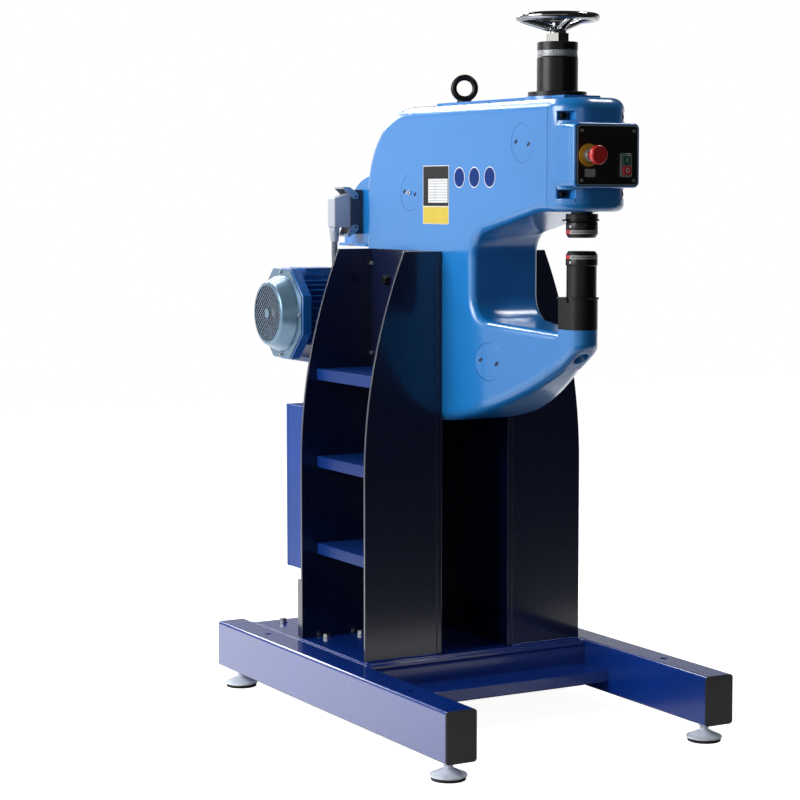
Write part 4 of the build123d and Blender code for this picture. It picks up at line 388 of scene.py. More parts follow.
def points_mesh(name, spots):
    """Loose points, each with the direction that the piece on it faces."""
    mesh = bpy.data.meshes.new(name)
    mesh.from_pydata([spot for spot, facing in spots], [], [])
    facings = mesh.attributes.new("facing", "FLOAT_VECTOR", "POINT")
    for number, (spot, facing) in enumerate(spots):
        facings.data[number].vector = facing
    return mesh


up = (0, 0, 1)
stand_plate_top, deck_top, wall_face = 0.17, 0.164, 0.11
base_spots = [((x, y, stand_plate_top), up) for x in (-0.25, -0.15, 0.15, 0.25) for y in (0.0, 0.291)]
base_spots += [((x, 0.555, deck_top), up) for x in (-0.244, 0.244)]
wall_spots = [((side * wall_face, y, z), (side, 0, 0))
              for side in (-1, 1) for y in (0.06, 0.221) for z in (0.82, 1.088)]
base_bolts = grown_mesh(bolt_tree, points_mesh("base_spots", base_spots), {})
wall_bolts = grown_mesh(bolt_tree, points_mesh("wall_spots", wall_spots),
                        {"Across flats": 0.022, "Head height": 0.012, "Washer radius": 0.014})
base_piece = set_piece("base_bolts", base_bolts, None, "frame")
wall_piece = set_piece("wall_bolts", wall_bolts, black_steel, "frame")
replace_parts(base_piece, "frame_bolts")
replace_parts(wall_piece, "frame_bolts")


# C-frame: one hollow grey iron casting with rounded edges, filled, rubbed down and sprayed light blue.
# The head cap is a second casting that closes the front of the head, held by four socket screws.
def banded(material, axis, low, high, colour, roughness, metallic=0.0):
    """Gives the stretch between two places along an axis another colour and gloss."""
    tree = material.node_tree
    shader = tree.nodes["Principled BSDF"].inputs
    reach = parts_of(grow(tree, "ShaderNodeTexCoord").outputs["Object"])[axis]
    within = work_out("MULTIPLY", work_out("GREATER_THAN", reach, low), work_out("LESS_THAN", reach, high))
    old_tint = shader["Base Color"].links[0].from_socket
    tints = grow(tree, "ShaderNodeMix", [(0, within), (6, old_tint), (7, shaded(colour))], data_type="RGBA")
    tree.links.new(tints.outputs[2], shader["Base Color"])
    old_gloss = shader["Roughness"].links[0].from_socket
    glosses = grow(tree, "ShaderNodeMix", [(0, within), (2, old_gloss), (3, roughness)], data_type="FLOAT")
    tree.links.new(glosses.outputs[0], shader["Roughness"])
    if metallic != shader["Metallic"].default_value:
        metals = grow(tree, "ShaderNodeMix",
                      [(0, within), (2, shader["Metallic"].default_value), (3, metallic)], data_type="FLOAT")
        tree.links.new(metals.outputs[0], shader["Metallic"])


def eased(reach, middle, half, slope):
    """How far a face has fallen away at a place, where its bend is spread over a length."""
    ramp = work_out("MAXIMUM", work_out("SUBTRACT", middle + half, reach), 0.0)
    ramp = work_out("MINIMUM", ramp, 2 * half)
    bend = work_out("MULTIPLY", work_out("MULTIPLY", ramp, ramp), slope / (4 * half))
    fall = work_out("MAXIMUM", work_out("SUBTRACT", middle - half, reach), 0.0)
    return work_out("ADD", bend, work_out("MULTIPLY", fall, slope))


def soft_bend(material, middle, tight, wide, slope):
    """Spreads the shading of the jaw's bend over more of its sides, as filler and rubbing down leave it."""
    tree = material.node_tree
    spot = parts_of(grow(tree, "ShaderNodeTexCoord").outputs["Object"])
    facing = parts_of(grow(tree, "ShaderNodeNewGeometry").outputs["Normal"])
    height = work_out("SUBTRACT", eased(spot["Y"], middle, tight, slope), eased(spot["Y"], middle, wide, slope))
    sideways = grow(tree, "ShaderNodeMapRange",
                    [("Value", work_out("ABSOLUTE", facing["X"])), ("From Min", 0.75), ("From Max", 0.97)])
    lower = grow(tree, "ShaderNodeMapRange", [("Value", spot["Z"]), ("From Min", 1.2), ("From Max", 0.99)])
    share = work_out("MULTIPLY", sideways.outputs["Result"], lower.outputs["Result"])
    lean = grow(tree, "ShaderNodeBump", [("Height", height), ("Strength", share), ("Distance", 1.0)])
    for bump in [node for node in tree.nodes if node.bl_idname == "ShaderNodeBump" and node != lean]:
        tree.links.new(lean.outputs["Normal"], bump.inputs["Normal"])
    tree.links.new(lean.outputs["Normal"], tree.nodes["Principled BSDF"].inputs["Coat Normal"])


jaw_bend, jaw_slope = -0.19, 0.225
casting_paint = finish("casting_paint", (22, 120, 195), 0.32, coat=0.8, mottle=0.04, grain=160,
                       relief=0.012, uneven=0.03)
casting_paint.node_tree.nodes["Principled BSDF"].inputs["Coat Roughness"].default_value = 0.16
soft_bend(casting_paint, jaw_bend, tight=0.0177, wide=0.085, slope=jaw_slope)
coat_nodes(casting_paint, "c_frame")
broken_edges("head_cap", 0.0014, casting_paint, sharp=40)
broken_edges("side_covers", 0.0009, casting_paint)
coat_nodes(black_steel, "cap_bolts", "eyebolt")


# Head seam and cover fittings: a dark strip of painted shade fills the fine gap where the cap meets the casting,
# up the sides and over the top. The round covers have pin key sockets with dark discs of painted shade at their
# bottoms, and each middle one has a steel grease nipple.
def round_rectangle(width, height, corner, steps=6):
    """The outline of a plate with round corners."""
    points = []
    for quarter, (right, upper) in enumerate(((1, 1), (-1, 1), (-1, -1), (1, -1))):
        for step in range(steps + 1):
            turn = math.radians(90 * (quarter + step / steps))
            points.append((right * (width / 2 - corner) + corner * math.cos(turn),
                           upper * (height / 2 - corner) + corner * math.sin(turn)))
    return points


def circle(radius, steps=48, first=0.0):
    """The outline of a disc, or of a plate with few corners, from a first angle in degrees."""
    turns = [math.radians(first) + 2 * math.pi * i / steps for i in range(steps)]
    return [(radius * math.cos(turn), radius * math.sin(turn)) for turn in turns]


def flat_plate(outer, thickness, inner=None):
    """A plate of one outline, or a flat frame between two outlines with as many points."""
    shape = bmesh.new()
    count = len(outer)
    low = [shape.verts.new((x, y, 0)) for x, y in outer]
    high = [shape.verts.new((x, y, thickness)) for x, y in outer]
    pairs = [(i, (i + 1) % count) for i in range(count)]
    for i, j in pairs:
        shape.faces.new((low[i], low[j], high[j], high[i]))
    if inner is None:
        shape.faces.new(high)
        shape.faces.new(low[::-1])
        return shape
    low_in = [shape.verts.new((x, y, 0)) for x, y in inner]
    high_in = [shape.verts.new((x, y, thickness)) for x, y in inner]
    for i, j in pairs:
        shape.faces.new((high[i], high[j], high_in[j], high_in[i]))
        shape.faces.new((low_in[i], low_in[j], low[j], low[i]))
        shape.faces.new((low_in[j], low_in[i], high_in[i], high_in[j]))
    return shape


side_axes = {"left": ((0, -1, 0), (0, 0, 1), (-1, 0, 0)), "right": ((0, 1, 0), (0, 0, 1), (1, 0, 0)),
             "front": ((1, 0, 0), (0, 0, 1), (0, -1, 0))}


def seat(side, x, y, z):
    """The place of a piece made flat on its back, turned to face one side of the machine."""
    across, upward, outward = (Vector(axis) for axis in side_axes[side])
    return Matrix.Translation((x, y, z)) @ Matrix((across, upward, outward)).transposed().to_4x4()


def fitted(name, shapes, material, body="frame", smooth=0.0):
    """Shapes set in their places and joined to one piece, smooth up to an angle in degrees."""
    whole = bmesh.new()
    for shape, place in shapes:
        shape.transform(place)
        part = bpy.data.meshes.new("part")
        shape.to_mesh(part)
        shape.free()
        whole.from_mesh(part)
        bpy.data.meshes.remove(part)
    bmesh.ops.recalc_face_normals(whole, faces=whole.faces)
    mesh = bpy.data.meshes.new(name)
    whole.to_mesh(mesh)
    whole.free()
    if smooth:
        mesh.shade_smooth()
        mesh.set_sharp_from_angle(angle=math.radians(smooth))
    return set_piece(name, mesh, material, body)


def turned(profile, steps=64, start=0.0, sweep=360.0):
    """A closed outline of (radius, height) points swept round an upright axis."""
    shape = bmesh.new()
    whole = sweep >= 360
    angles = [math.radians(start + sweep * i / steps) for i in range(steps if whole else steps + 1)]
    rings = [[shape.verts.new((r * math.cos(a), r * math.sin(a), h)) for r, h in profile] for a in angles]
    corners = len(profile)
    for i in range(len(rings) if whole else len(rings) - 1):
        here, there = rings[i], rings[(i + 1) % len(rings)]
        for k in range(corners):
            n = (k + 1) % corners
            shape.faces.new((here[k], there[k], there[n], here[n]))
    if not whole:
        shape.faces.new(rings[0])
        shape.faces.new(rings[-1][::-1])
    bmesh.ops.remove_doubles(shape, verts=shape.verts, dist=1e-7)
    return shape


gap_shade = finish("gap_shade", (6, 30, 62), 0.6, clouds=30, grain=900, relief=0.05)
head_low, head_high, head_half = 1.266, 1.523, 0.096
seam_width, seam_y = 0.0009, -0.4896
proud = 0.00012
seam_depth, head_corner, corner_steps = 0.001, 0.028, 10
head_height = head_high - head_low
seam_outer, seam_inner = (round_rectangle(2 * (head_half + out), head_height + 2 * out, corner, corner_steps)
                          for out, corner in ((proud, head_corner), (-seam_depth, head_corner - seam_depth)))
seam_end = 33
seam_line = seam_outer[seam_end:] + seam_outer[:seam_end]
seam_line += (seam_inner[seam_end:] + seam_inner[:seam_end])[::-1]
# A thin dark frame stands in the seam as painted shade of the gap.
fitted("head_seam", [(flat_plate(seam_line, seam_width), seat("front", 0, seam_y, (head_low + head_high) / 2))],
       gap_shade)
nipple = [(0.0, 0.0), (0.0062, 0.0), (0.0062, 0.0032), (0.0042, 0.0038), (0.0042, 0.0062), (0.0036, 0.0078),
          (0.0018, 0.0084), (0.0, 0.0084)]
nipple_steel = finish("nipple_steel", (206, 208, 212), 0.25, metallic=0.9, clouds=60, mottle=0.05, grain=600,
                      relief=0.05)
middle_y, middle_z = 0.133, 1.309
nipples = [(turned(nipple, 24), seat(hand, side * head_half, middle_y, middle_z))
           for hand, side in (("left", -1), ("right", 1))]
fitted("grease_nipples", nipples, nipple_steel, smooth=40)
# Dark discs at the bottom of the covers' pin holes are painted shade.
socket_depth, socket_radius, socket_disc = 0.0012, 0.0038, 0.0003
socket_spots = ((0.024, 0.005), (0.029, 0.002), (-0.024, -0.005), (-0.029, -0.002))
covers = ((-0.386, 1.423, 0, 0), (middle_y, middle_z, 0, 0), (-0.228, 0.909, jaw_slope, 0.001))
sockets = []
for side in (-1, 1):
    for y, z, slope, sink in covers:
        upward, outward = Vector((0, 0, 1)), Vector((side, -slope, 0)).normalized()
        lean = Matrix((upward.cross(outward), upward, outward)).transposed().to_4x4()
        for socket_y, socket_z in socket_spots:
            spot_x = side * (head_half - slope * (jaw_bend - y - socket_y) - sink)
            spot = Vector((spot_x, y + socket_y, z + socket_z)) - socket_depth * outward
            sockets.append((flat_plate(circle(socket_radius, 20), socket_disc), Matrix.Translation(spot) @ lean))
fitted("cover_sockets", sockets, gap_shade)

# Plates on the casting: a blank rating plate with a pale ruled field, and three plain blue discs.
# They are printed foil, stuck on the left side of the head in layers.
casting_side = -0.09602
foil = 0.0003


def stuck(name, prints, layer, material, thickness=foil):
    """Foil with one or more outlines, each at its place on the head's side, on top of other layers."""
    fitted(name, [(flat_plate(outline, thickness), seat("left", casting_side - layer * foil, y, z))
                  for outline, y, z in prints], material)


foil_grain = {"clouds": 30, "grain": 900, "relief": 0.03}
foil_white = finish("foil_white", (222, 224, 226), 0.4, mottle=0.03, **foil_grain)
foil_black = finish("foil_black", (30, 30, 32), 0.42, sheen=0.2, **foil_grain)
foil_yellow = finish("foil_yellow", (206, 182, 70), 0.4, mottle=0.04, sheen=0.3, **foil_grain)
foil_blue = finish("foil_blue", (12, 48, 116), 0.5, mottle=0.05, sheen=0.1, **foil_grain)
field_paper = finish("field_paper", (216, 218, 220), 0.45, mottle=0.03, **foil_grain)
plate_y, plate_z = 0.0035, 1.3045
plate_width, plate_height = 0.125, 0.143
print_width = plate_width - 0.004
field_y, field_z = -0.0075, 1.3145
stuck("plate_back", [(round_rectangle(plate_width, plate_height, 0.003), plate_y, plate_z)], 0, foil_white)
stuck("plate_header", [(round_rectangle(print_width, 0.097, 0.002), plate_y, 1.3257)], 1, foil_black)
stuck("plate_footer", [(round_rectangle(print_width, 0.041, 0.002), plate_y, 1.2545)], 1, foil_yellow)
stuck("plate_field", [(round_rectangle(0.093, 0.058, 0.0015), field_y, field_z)], 2, field_paper)
rules = [(round_rectangle(0.088, 0.0007, 0.0003, 2), field_y, 1.2905 + 0.0068 * row) for row in range(8)]
rules.append((round_rectangle(0.0007, 0.05, 0.0003, 2), 0.006, field_z))
stuck("plate_rules", rules, 3, foil_black, foil / 2)
disc_spots = [(y, 1.346) for y in (-0.108, -0.177, -0.246)]
stuck("disc_rims", [(circle(0.025), *spot) for spot in disc_spots], 0, foil_white)
stuck("disc_faces", [(circle(0.0228), *spot) for spot in disc_spots], 1, foil_blue)

# Stroke drive: ground steel parts inside the casting, bronze bush, belt drive at the back.
# The pressed housing over the belt is sprayed with the casting.
steel_grain = {"clouds": 40, "grain": 500, "relief": 0.1}
ground_steel = finish("ground_steel", (176, 178, 182), 0.28, metallic=1.0, **steel_grain)
ram_shaded_steel = finish("ram_shaded_steel", (60, 60, 62), 0.34, metallic=0.8, **steel_grain)
bronze = finish("bronze", (190, 150, 90), 0.35, metallic=1.0, **steel_grain)
belt_rubber = finish("belt_rubber", (30, 30, 30), 0.7, clouds=60, mottle=0.2, grain=900, relief=0.3)
coat_nodes(ground_steel, "fulcrum_block", "fulcrum_pin", "rocker", "eccentric_shaft", "con_rod", "shaft_bearings",
           "driven_pulley", "motor_shaft")
# The ram's steel is painted darker than the other drive parts, as shade where it shows under the head.
coat_nodes(ram_shaded_steel, "ram")
coat_nodes(bronze, "ram_bush")
coat_nodes(belt_rubber, "drive_belt")
broken_edges("drive_housing", 0.0015, casting_paint)

# Motor: finned body and octagonal shield in blue enamel, with a grey-blue pressed cowl over the fan.
# The cowl's end is a lattice of thin bars with a small plate at its middle; its inside is lined near-black as
# painted shade.
motor_paint = finish("motor_paint", (18, 92, 166), 0.34, coat=0.4, clouds=12, grain=300, relief=0.15)
cowl_paint = finish("cowl_paint", (102, 132, 156), 0.3, metallic=0.5, coat=0.3, clouds=12, mottle=0.06,
                    grain=300, relief=0.03, uneven=0.05)
grille_wire = finish("grille_wire", (112, 130, 148), 0.4, clouds=30, mottle=0.06, grain=600, relief=0.05)
fan_black_and_shade = finish("fan_black_and_shade", (8, 11, 15), 0.6, clouds=20, mottle=0.15, grain=600, relief=0.15, sheen=0.15)
coat_nodes(motor_paint, "motor_body", "motor_bracket")
broken_edges("terminal_box", 0.0005, motor_paint)
broken_edges("motor_shield", 0.0012, motor_paint)
coat_nodes(fan_black_and_shade, "motor_fan")
motor_y, motor_z = 0.511, 0.995
cowl_back, cowl_face = -0.265, -0.309
cowl_depth = cowl_back - cowl_face
motor_end = seat("left", cowl_back, motor_y, motor_z)
flange_half, flange_opening, flange_sheet = 0.115, 0.0985, 0.003
flange_sides, side_steps, first_corner = 8, 6, 22.5
octagon = circle(flange_half / math.cos(math.pi / flange_sides), flange_sides, first_corner)
octagon_edge = [(x + (next_x - x) * step / side_steps, y + (next_y - y) * step / side_steps)
                for (x, y), (next_x, next_y) in zip(octagon, octagon[1:] + octagon[:1])
                for step in range(side_steps)]
flange_hole = circle(flange_opening, flange_sides * side_steps, first_corner)
middle_radius, middle_sheet, middle_inset, grille_inset = 0.0125, 0.0015, 0.0008, 0.0022
middle_place = seat("left", cowl_face + middle_inset, motor_y, motor_z)
cone = [(0.102, 0.0), (0.1005, 0.0075), (0.0985, 0.011), (0.0845, 0.0385), (0.0825, 0.0415), (0.079, 0.0435),
        (0.0745, cowl_depth), (0.0735, cowl_depth), (0.0735, 0.0415), (0.078, 0.0405), (0.081, 0.037),
        (0.095, 0.0095), (0.0965, 0.0)]
cowl_shapes = [(flat_plate(octagon_edge, flange_sheet, flange_hole), motor_end), (turned(cone, 72), motor_end),
               (flat_plate(circle(middle_radius, 28), middle_sheet), middle_place)]
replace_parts(fitted("cowl_shell", cowl_shapes, cowl_paint, smooth=32), "motor_cowl")
# A near-black lining inside the cowl is painted shade for the hollow behind the grille.
cowl_shade_lining = [(0.0733, 0.0413), (0.0777, 0.0402), (0.0807, 0.0367), (0.0947, 0.0092), (0.0962, 0.0), (0.0957, 0.0),
         (0.0942, 0.009), (0.0802, 0.0365), (0.0773, 0.0398), (0.073, 0.0409)]
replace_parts(fitted("cowl_inside", [(turned(cowl_shade_lining, 72), motor_end)], fan_black_and_shade, smooth=32),
            "motor_cowl")
grille_tree, grille_in = growth_tree("bar_grille", {"Grille radius": 0.0745, "Bar pitch": 0.0086,
                                                    "Bar width": 0.0016, "Bar depth": 0.0008})
half_count = work_out("FLOOR", work_out("DIVIDE", grille_in["Grille radius"], grille_in["Bar pitch"]))
bar_count = work_out("ADD", work_out("MULTIPLY", half_count, 2.0), 1.0)
bar_span = work_out("MULTIPLY", work_out("SUBTRACT", bar_count, 1.0), grille_in["Bar pitch"])
bar_start = vector_of(grille_tree, X=work_out("MULTIPLY", bar_span, -0.5))
bar_step = vector_of(grille_tree, X=grille_in["Bar pitch"])
bar_line = grow(grille_tree, "GeometryNodeMeshLine",
                [("Count", bar_count), ("Start Location", bar_start), ("Offset", bar_step)], mode="OFFSET")
bar_x = parts_of(grow(grille_tree, "GeometryNodeInputPosition").outputs[0])["X"]
radius_squared = work_out("MULTIPLY", grille_in["Grille radius"], grille_in["Grille radius"])
bar_squared = work_out("SUBTRACT", radius_squared, work_out("MULTIPLY", bar_x, bar_x))
bar_length = work_out("MULTIPLY", work_out("SQRT", bar_squared), 2.0)
bar_size = vector_of(grille_tree, X=grille_in["Bar width"], Y=bar_length, Z=grille_in["Bar depth"])
bar_cube = grow(grille_tree, "GeometryNodeMeshCube", [("Size", (1, 1, 1))])
bar_row = grow(grille_tree, "GeometryNodeInstanceOnPoints",
               [("Points", bar_line), ("Instance", bar_cube), ("Scale", bar_size)])
bar_rows = grow(grille_tree, "GeometryNodeJoinGeometry")
for hand in (1, -1):
    bar_lift = vector_of(grille_tree, Z=work_out("MULTIPLY", grille_in["Bar depth"], hand * 0.4))
    bar_turned = grow(grille_tree, "GeometryNodeTransform", [("Geometry", bar_row), ("Translation", bar_lift),
                                                             ("Rotation", (0, 0, hand * math.radians(45)))])
    grille_tree.links.new(bar_turned.outputs[0], bar_rows.inputs[0])
close_tree(grille_tree, bar_rows, grille_wire)
grille = grown_mesh(grille_tree, bpy.data.meshes.new("grille_start"), {})
grille.transform(seat("left", cowl_face + grille_inset, motor_y, motor_z))
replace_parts(set_piece("cowl_grille", grille, None, "frame"), "motor_cowl")

# Height adjuster: black sleeve and collar, a ground scale ring and a chromed dished handwheel on a hex hub.
# The ring is engraved with a line for every fortieth of a turn and a figure for every fourth line.
chrome = finish("chrome", (150, 152, 157), 0.12, metallic=1.0, clouds=30, mottle=0.03, grain=300, relief=0.02)
hub_bottom, hub_top = 1.645, 1.675
banded(chrome, "Z", hub_bottom, hub_top, (104, 103, 100), 0.36, metallic=1.0)
scale_steel = finish("scale_steel", (150, 152, 155), 0.45, metallic=0.3, clouds=30, mottle=0.06, grain=60,
                     relief=0.1, stretch=(1, 1, 30))
broken_edges("adjuster_sleeve", 0.001, black_steel)
broken_edges("adjuster_spindle", 0.001, black_steel, body="adjuster")
broken_edges("scale_ring", 0.0006, scale_steel)
coat_nodes(chrome, "handwheel")
ink_grain = {"clouds": 60, "grain": 900, "relief": 0.05}
ink_black = finish("ink_black", (20, 20, 22), 0.6, **ink_grain)
ink_white = finish("ink_white", (226, 226, 226), 0.5, mottle=0.05, **ink_grain)
tick_tree, tick_in = growth_tree("tick_ring", {"Ring radius": 0.046, "Tick width": 0.0006, "Tick length": 0.004,
                                               "Tick count": 40.0, "First angle": 0.0, "Last angle": 360.0})
tick_line = grow(tick_tree, "GeometryNodeMeshLine", [("Count", tick_in["Tick count"])], mode="OFFSET")
tick_number = grow(tick_tree, "GeometryNodeInputIndex").outputs[0]
tick_share = work_out("DIVIDE", tick_number, tick_in["Tick count"])
tick_span = work_out("SUBTRACT", tick_in["Last angle"], tick_in["First angle"])
tick_degrees = work_out("ADD", work_out("MULTIPLY", tick_share, tick_span), tick_in["First angle"])
tick_angle = work_out("RADIANS", tick_degrees)
tick_x = work_out("MULTIPLY", work_out("COSINE", tick_angle), tick_in["Ring radius"])
tick_y = work_out("MULTIPLY", work_out("SINE", tick_angle), tick_in["Ring radius"])
tick_spot = vector_of(tick_tree, X=tick_x, Y=tick_y)
tick_set = grow(tick_tree, "GeometryNodeSetPosition", [("Geometry", tick_line), ("Position", tick_spot)])
tick_turn = vector_of(tick_tree, Z=tick_angle)
tick_depth = 0.0004
tick_size = vector_of(tick_tree, X=tick_depth, Y=tick_in["Tick width"], Z=tick_in["Tick length"])
tick_block = grow(tick_tree, "GeometryNodeMeshCube", [("Size", (1, 1, 1))])
tick_row = grow(tick_tree, "GeometryNodeInstanceOnPoints",
                [("Points", tick_set), ("Instance", tick_block), ("Rotation", tick_turn), ("Scale", tick_size)])
close_tree(tick_tree, tick_row, ink_black)
ring_low, ring_high = (Vector(corner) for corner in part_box("scale_ring"))
ring_radius = (ring_high.x - ring_low.x) / 2
ring_y = (ring_low.y + ring_high.y) / 2
ticks = grown_mesh(tick_tree, bpy.data.meshes.new("scale_start"),
                   {"Ring radius": ring_radius, "Tick length": 0.0045, "Tick width": 0.0009})
ticks.transform(Matrix.Translation((0, ring_y, ring_low.z + 0.0032)))
set_piece("scale_ticks", ticks, None, "frame")


def wrapped_figures(figures, size, radius, height, place_y):
    """Figures of a dial, each at its angle, bent round an upright ring and cut a little proud of it."""
    whole = bmesh.new()
    for figure, angle in figures:
        writing = bpy.data.curves.new("figure", "FONT")
        writing.body = figure
        writing.size = size
        writing.align_x = "CENTER"
        writing.extrude = 0.0002
        sheet = placed("figure", writing)
        flat = baked_mesh(sheet)
        bpy.data.objects.remove(sheet)
        for vertex in flat.vertices:
            turn = math.radians(angle) + vertex.co.x / radius
            reach = radius + vertex.co.z
            vertex.co = (reach * math.cos(turn), place_y + reach * math.sin(turn), height + vertex.co.y)
        whole.from_mesh(flat)
        bpy.data.meshes.remove(flat)
    mesh = bpy.data.meshes.new("figures")
    whole.to_mesh(mesh)
    whole.free()
    return mesh


scale_figures = [(str(n), 36.0 * n + 9.0) for n in range(10)]
figures = wrapped_figures(scale_figures, 0.0065, ring_radius, ring_low.z + 0.0072, ring_y)
set_piece("scale_figures", figures, ink_black, "frame")

# Forming tools: black oxide steel, quick change holders above and below, turned and ground.
# Each tool has a pale printed band with fine lines, a red stretch and a small white set mark.
tool_steel = finish("tool_steel", (17, 17, 19), 0.34, clouds=30, mottle=0.2, grain=60, relief=0.06,
                    stretch=(1, 1, 30), sheen=0.28)
band_pale = finish("band_pale", (168, 168, 170), 0.5, **ink_grain)
band_red = finish("band_red", (190, 28, 44), 0.45, mottle=0.08, **ink_grain)
tool_y, tool_radius = -0.49, 0.0365
mark_turn = math.radians(190)
mark_reach = tool_radius - 0.0001
for tool, body in (("upper", "ram"), ("lower", "frame")):
    broken_edges(tool + "_tool_holder", 0.0008, tool_steel, body=body)
    broken_edges(tool + "_tool", 0.0008, tool_steel, body=body)
for tool, body, low, high, mark_z in (("upper", "ram", 1.2160, 1.2245, 1.2327),
                                      ("lower", "frame", 1.1590, 1.1672, 1.1514)):
    place = Matrix.Translation((0, tool_y, 0))
    band, stretch = ([(tool_radius - 0.001, low), (tool_radius + rise, low), (tool_radius + rise, high),
                      (tool_radius - 0.001, high)] for rise in (0.0001, 0.0003))
    fitted(tool + "_band", [(turned(band, 72), place)], band_pale, body, smooth=32)
    fitted(tool + "_red", [(turned(stretch, 16, 160.0, 28.0), place)], band_red, body, smooth=32)
    lines = grown_mesh(tick_tree, bpy.data.meshes.new("print_start"),
                       {"Ring radius": tool_radius + 0.0001, "Tick width": 0.0012,
                        "Tick length": (high - low) * 0.55, "Tick count": 26.0, "First angle": 196.0,
                        "Last angle": 300.0})
    lines.transform(Matrix.Translation((0, tool_y, (low + high) / 2)))
    set_piece(tool + "_print", lines, None, body)
    mark_spot = (mark_reach * math.cos(mark_turn), tool_y + mark_reach * math.sin(mark_turn), mark_z)
    mark_place = (Matrix.Translation(mark_spot) @ Matrix.Rotation(mark_turn, 4, "Z")
                  @ Matrix.Rotation(math.radians(90), 4, "Y"))
    fitted(tool + "_mark", [(flat_plate(circle(0.0026, 16), 0.0003), mark_place)], ink_white, body)

# Control box: cast with the cap in the same blue paint, closed by a satin black panel with a pale painted
# highlight rim.
# It carries an emergency stop, a twin switch and a blank label. The panel is held by four slotted screws.
panel_black = finish("panel_black", (17, 17, 19), 0.4, clouds=20, mottle=0.12, grain=900, relief=0.1)
knob_grain = {"clouds": 30, "mottle": 0.06, "grain": 600}
yellow = finish("yellow_plastic", (196, 162, 36), 0.38, relief=0.06, **knob_grain)
red = finish("red_plastic", (200, 34, 34), 0.3, coat=0.3, relief=0.05, **knob_grain)
green = finish("green_plastic", (20, 96, 66), 0.34, coat=0.2, relief=0.05, **knob_grain)
satin_silver = finish("satin_silver", (172, 175, 180), 0.35, metallic=0.7, clouds=30, mottle=0.06, grain=500)
label_grey_and_rim_highlight = finish("label_grey_and_rim_highlight", (150, 154, 160), 0.45, clouds=30, mottle=0.05, grain=900, relief=0.05)
panel_front, panel_middle = -0.591, 1.3925
banded(yellow, "Y", -0.62, panel_front - 0.0027, (168, 170, 174), 0.32, metallic=0.8)
coat_nodes(casting_paint, "control_box")
broken_edges("control_panel", 0.0004, panel_black)
coat_nodes(satin_silver, "small_screws")
coat_nodes(yellow, "estop_base")
coat_nodes(red, "estop_button", "stop_button")
coat_nodes(green, "start_button")
broken_edges("switch_frame", 0.0008, satin_silver)
# A thin pale frame round the panel's edge is a painted highlight on its bevel; the label shares its grey.
rim = flat_plate(round_rectangle(0.163, 0.133, 0.0088), 0.0002, round_rectangle(0.1598, 0.1298, 0.0072))
fitted("panel_rim_highlight", [(rim, seat("front", 0, panel_front, panel_middle))], label_grey_and_rim_highlight)
label = flat_plate(round_rectangle(0.028, 0.018, 0.001, 3), 0.0003)
fitted("panel_label", [(label, seat("front", -0.048, panel_front, 1.353))], label_grey_and_rim_highlight)
start_face, stop_face = panel_front - 0.0085, panel_front - 0.0105
switch_x, start_z, stop_z = 0.047, 1.383, 1.359
stroke = flat_plate(round_rectangle(0.002, 0.010, 0.0005, 2), 0.0002)
fitted("start_mark", [(stroke, seat("front", switch_x, start_face, start_z))], ink_white,
       "start_button")
ring = flat_plate(circle(0.0052, 32), 0.0002, circle(0.0034, 32))
fitted("stop_mark", [(ring, seat("front", switch_x, stop_face, stop_z))], ink_white, "stop_button")

# Connector: die cast plug and socket on the drive housing with two sprung locking levers.
# The hood is bare grey, the socket dark, and the levers are pressed from bright sheet.
connector_grain = {"clouds": 20, "grain": 600, "relief": 0.15}
connector_grey = finish("connector_grey", (174, 180, 192), 0.4, mottle=0.06, **connector_grain)
connector_dark = finish("connector_dark", (52, 56, 66), 0.42, mottle=0.08, **connector_grain)
broken_edges("connector_base", 0.0012, connector_dark)
broken_edges("connector_hood", 0.0014, connector_grey)
for lever in ("lever_top", "lever_bottom"):
    broken_edges(lever, 0.0006, satin_silver, body=lever)
coat_nodes(connector_grey, "cable_glands")


# Conduit: grey ribbed plastic tube from the connector down to the cabinet, held at both ends by a gland.
# It follows one smooth line, with a rib about every six millimetres over a core painted dark as shade between the
# ribs.
def rounded_route(corners, radii, steps=16):
    """Points along straight runs that are joined by arcs."""
    points = [Vector(corners[0])]
    for before, corner, after, radius in zip(corners, corners[1:], corners[2:], radii):
        bend = Vector(corner)
        back, ahead = (Vector(before) - bend).normalized(), (Vector(after) - bend).normalized()
        half = back.angle(ahead) / 2
        middle = bend + (back + ahead).normalized() * radius / math.sin(half)
        first = (bend + back * radius / math.tan(half) - middle).normalized()
        last = (bend + ahead * radius / math.tan(half) - middle).normalized()
        points += [middle + radius * first.slerp(last, i / steps) for i in range(steps + 1)]
    return points + [Vector(corners[-1])]


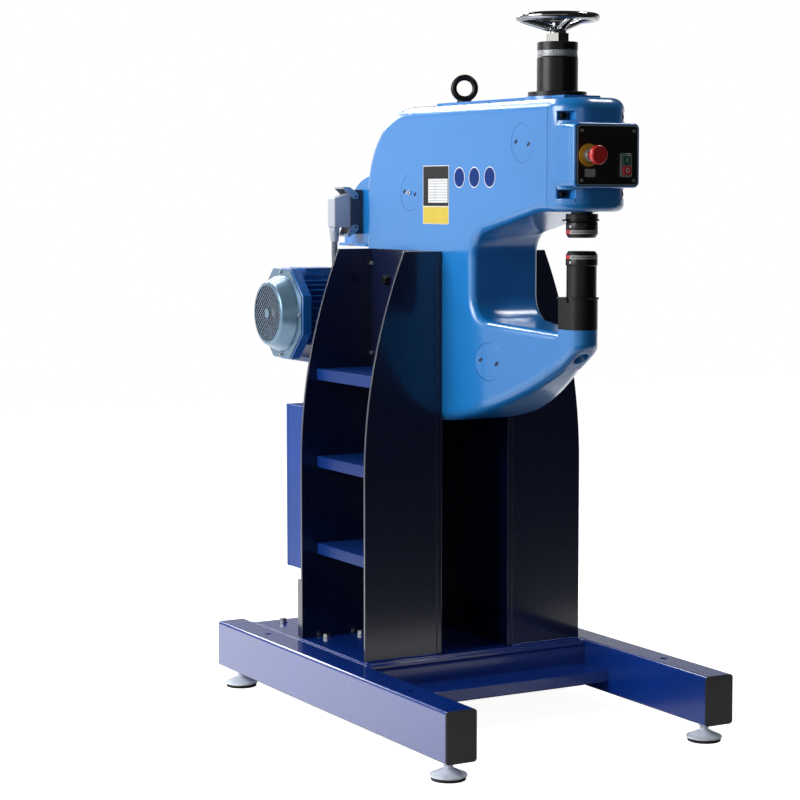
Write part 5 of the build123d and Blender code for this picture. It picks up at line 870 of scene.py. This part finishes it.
conduit_grain = {"clouds": 40, "mottle": 0.06, "grain": 600, "relief": 0.1}
conduit_grey = finish("conduit_grey", (140, 146, 156), 0.5, **conduit_grain)
conduit_valley_shade = finish("conduit_valley_shade", (40, 44, 52), 0.6, **conduit_grain)
conduit_x, upper_y, lower_y = -0.139, 0.455, 0.356
conduit_corners = ((conduit_x, upper_y, 1.182), (conduit_x, upper_y, 1.118), (conduit_x, lower_y, 1.008),
                   (conduit_x, lower_y, 0.792))
conduit_run = rounded_route(conduit_corners, (0.072, 0.16))
route = bpy.data.curves.new("conduit_route", "CURVE")
route.dimensions = "3D"
line = route.splines.new("POLY")
line.points.add(len(conduit_run) - 1)
for point, spot in zip(line.points, conduit_run):
    point.co = (*spot, 1.0)
route_piece = placed("conduit_route", route)
route_mesh = baked_mesh(route_piece)
route.bevel_depth = 0.0074
route.bevel_resolution = 6
route.use_fill_caps = True
core_mesh = baked_mesh(route_piece)
bpy.data.objects.remove(route_piece)
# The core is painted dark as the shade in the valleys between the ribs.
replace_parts(set_piece("conduit_core", core_mesh, conduit_valley_shade, "frame"), "conduit")
rib_tree, rib_in = growth_tree("ribbed_tube", {"Core radius": 0.0072, "Rib radius": 0.009, "Rib pitch": 0.0058})
rib_line = grow(rib_tree, "GeometryNodeMeshToCurve", [("Mesh", rib_in["Start"])])
rib_spots = grow(rib_tree, "GeometryNodeCurveToPoints",
                 [("Curve", rib_line), ("Length", rib_in["Rib pitch"])], mode="LENGTH")
rib_height = work_out("SUBTRACT", rib_in["Rib radius"], rib_in["Core radius"])
rib_fullness = 1.15
rib_half = work_out("MULTIPLY", rib_height, rib_fullness)
rib_middle = work_out("SUBTRACT", rib_in["Rib radius"], rib_half)
rib_ring, rib_round = (grow(rib_tree, "GeometryNodeCurvePrimitiveCircle",
                            [("Resolution", count), ("Radius", radius)], mode="RADIUS")
                       for count, radius in ((24, rib_middle), (8, rib_half)))
rib_shape = grow(rib_tree, "GeometryNodeCurveToMesh", [("Curve", rib_ring), ("Profile Curve", rib_round)])
rib_row = grow(rib_tree, "GeometryNodeInstanceOnPoints",
               [("Points", rib_spots), ("Instance", rib_shape), ("Rotation", rib_spots.outputs["Rotation"])])
rib_smooth = grow(rib_tree, "GeometryNodeSetShadeSmooth", [("Geometry", rib_row)])
close_tree(rib_tree, rib_smooth, conduit_grey)
conduit_mesh = grown_mesh(rib_tree, route_mesh, {})
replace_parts(set_piece("ribbed_conduit", conduit_mesh, None, "frame"), "conduit")

# Switch cabinet: folded steel box on the back of the stand, with a hinged door and a turn lock.
# Powder coated lighter than the stand, whose plates are painted darker as shade.
cabinet_paint = finish("cabinet_paint", (22, 64, 142), 0.4, clouds=6, mottle=0.08, grain=500, relief=0.03,
                       sheen=0.2)
broken_edges("cabinet", 0.0005, cabinet_paint)
broken_edges("cabinet_door", 0.0012, cabinet_paint, body="cabinet_door")
coat_nodes(ground_steel, "door_lock")
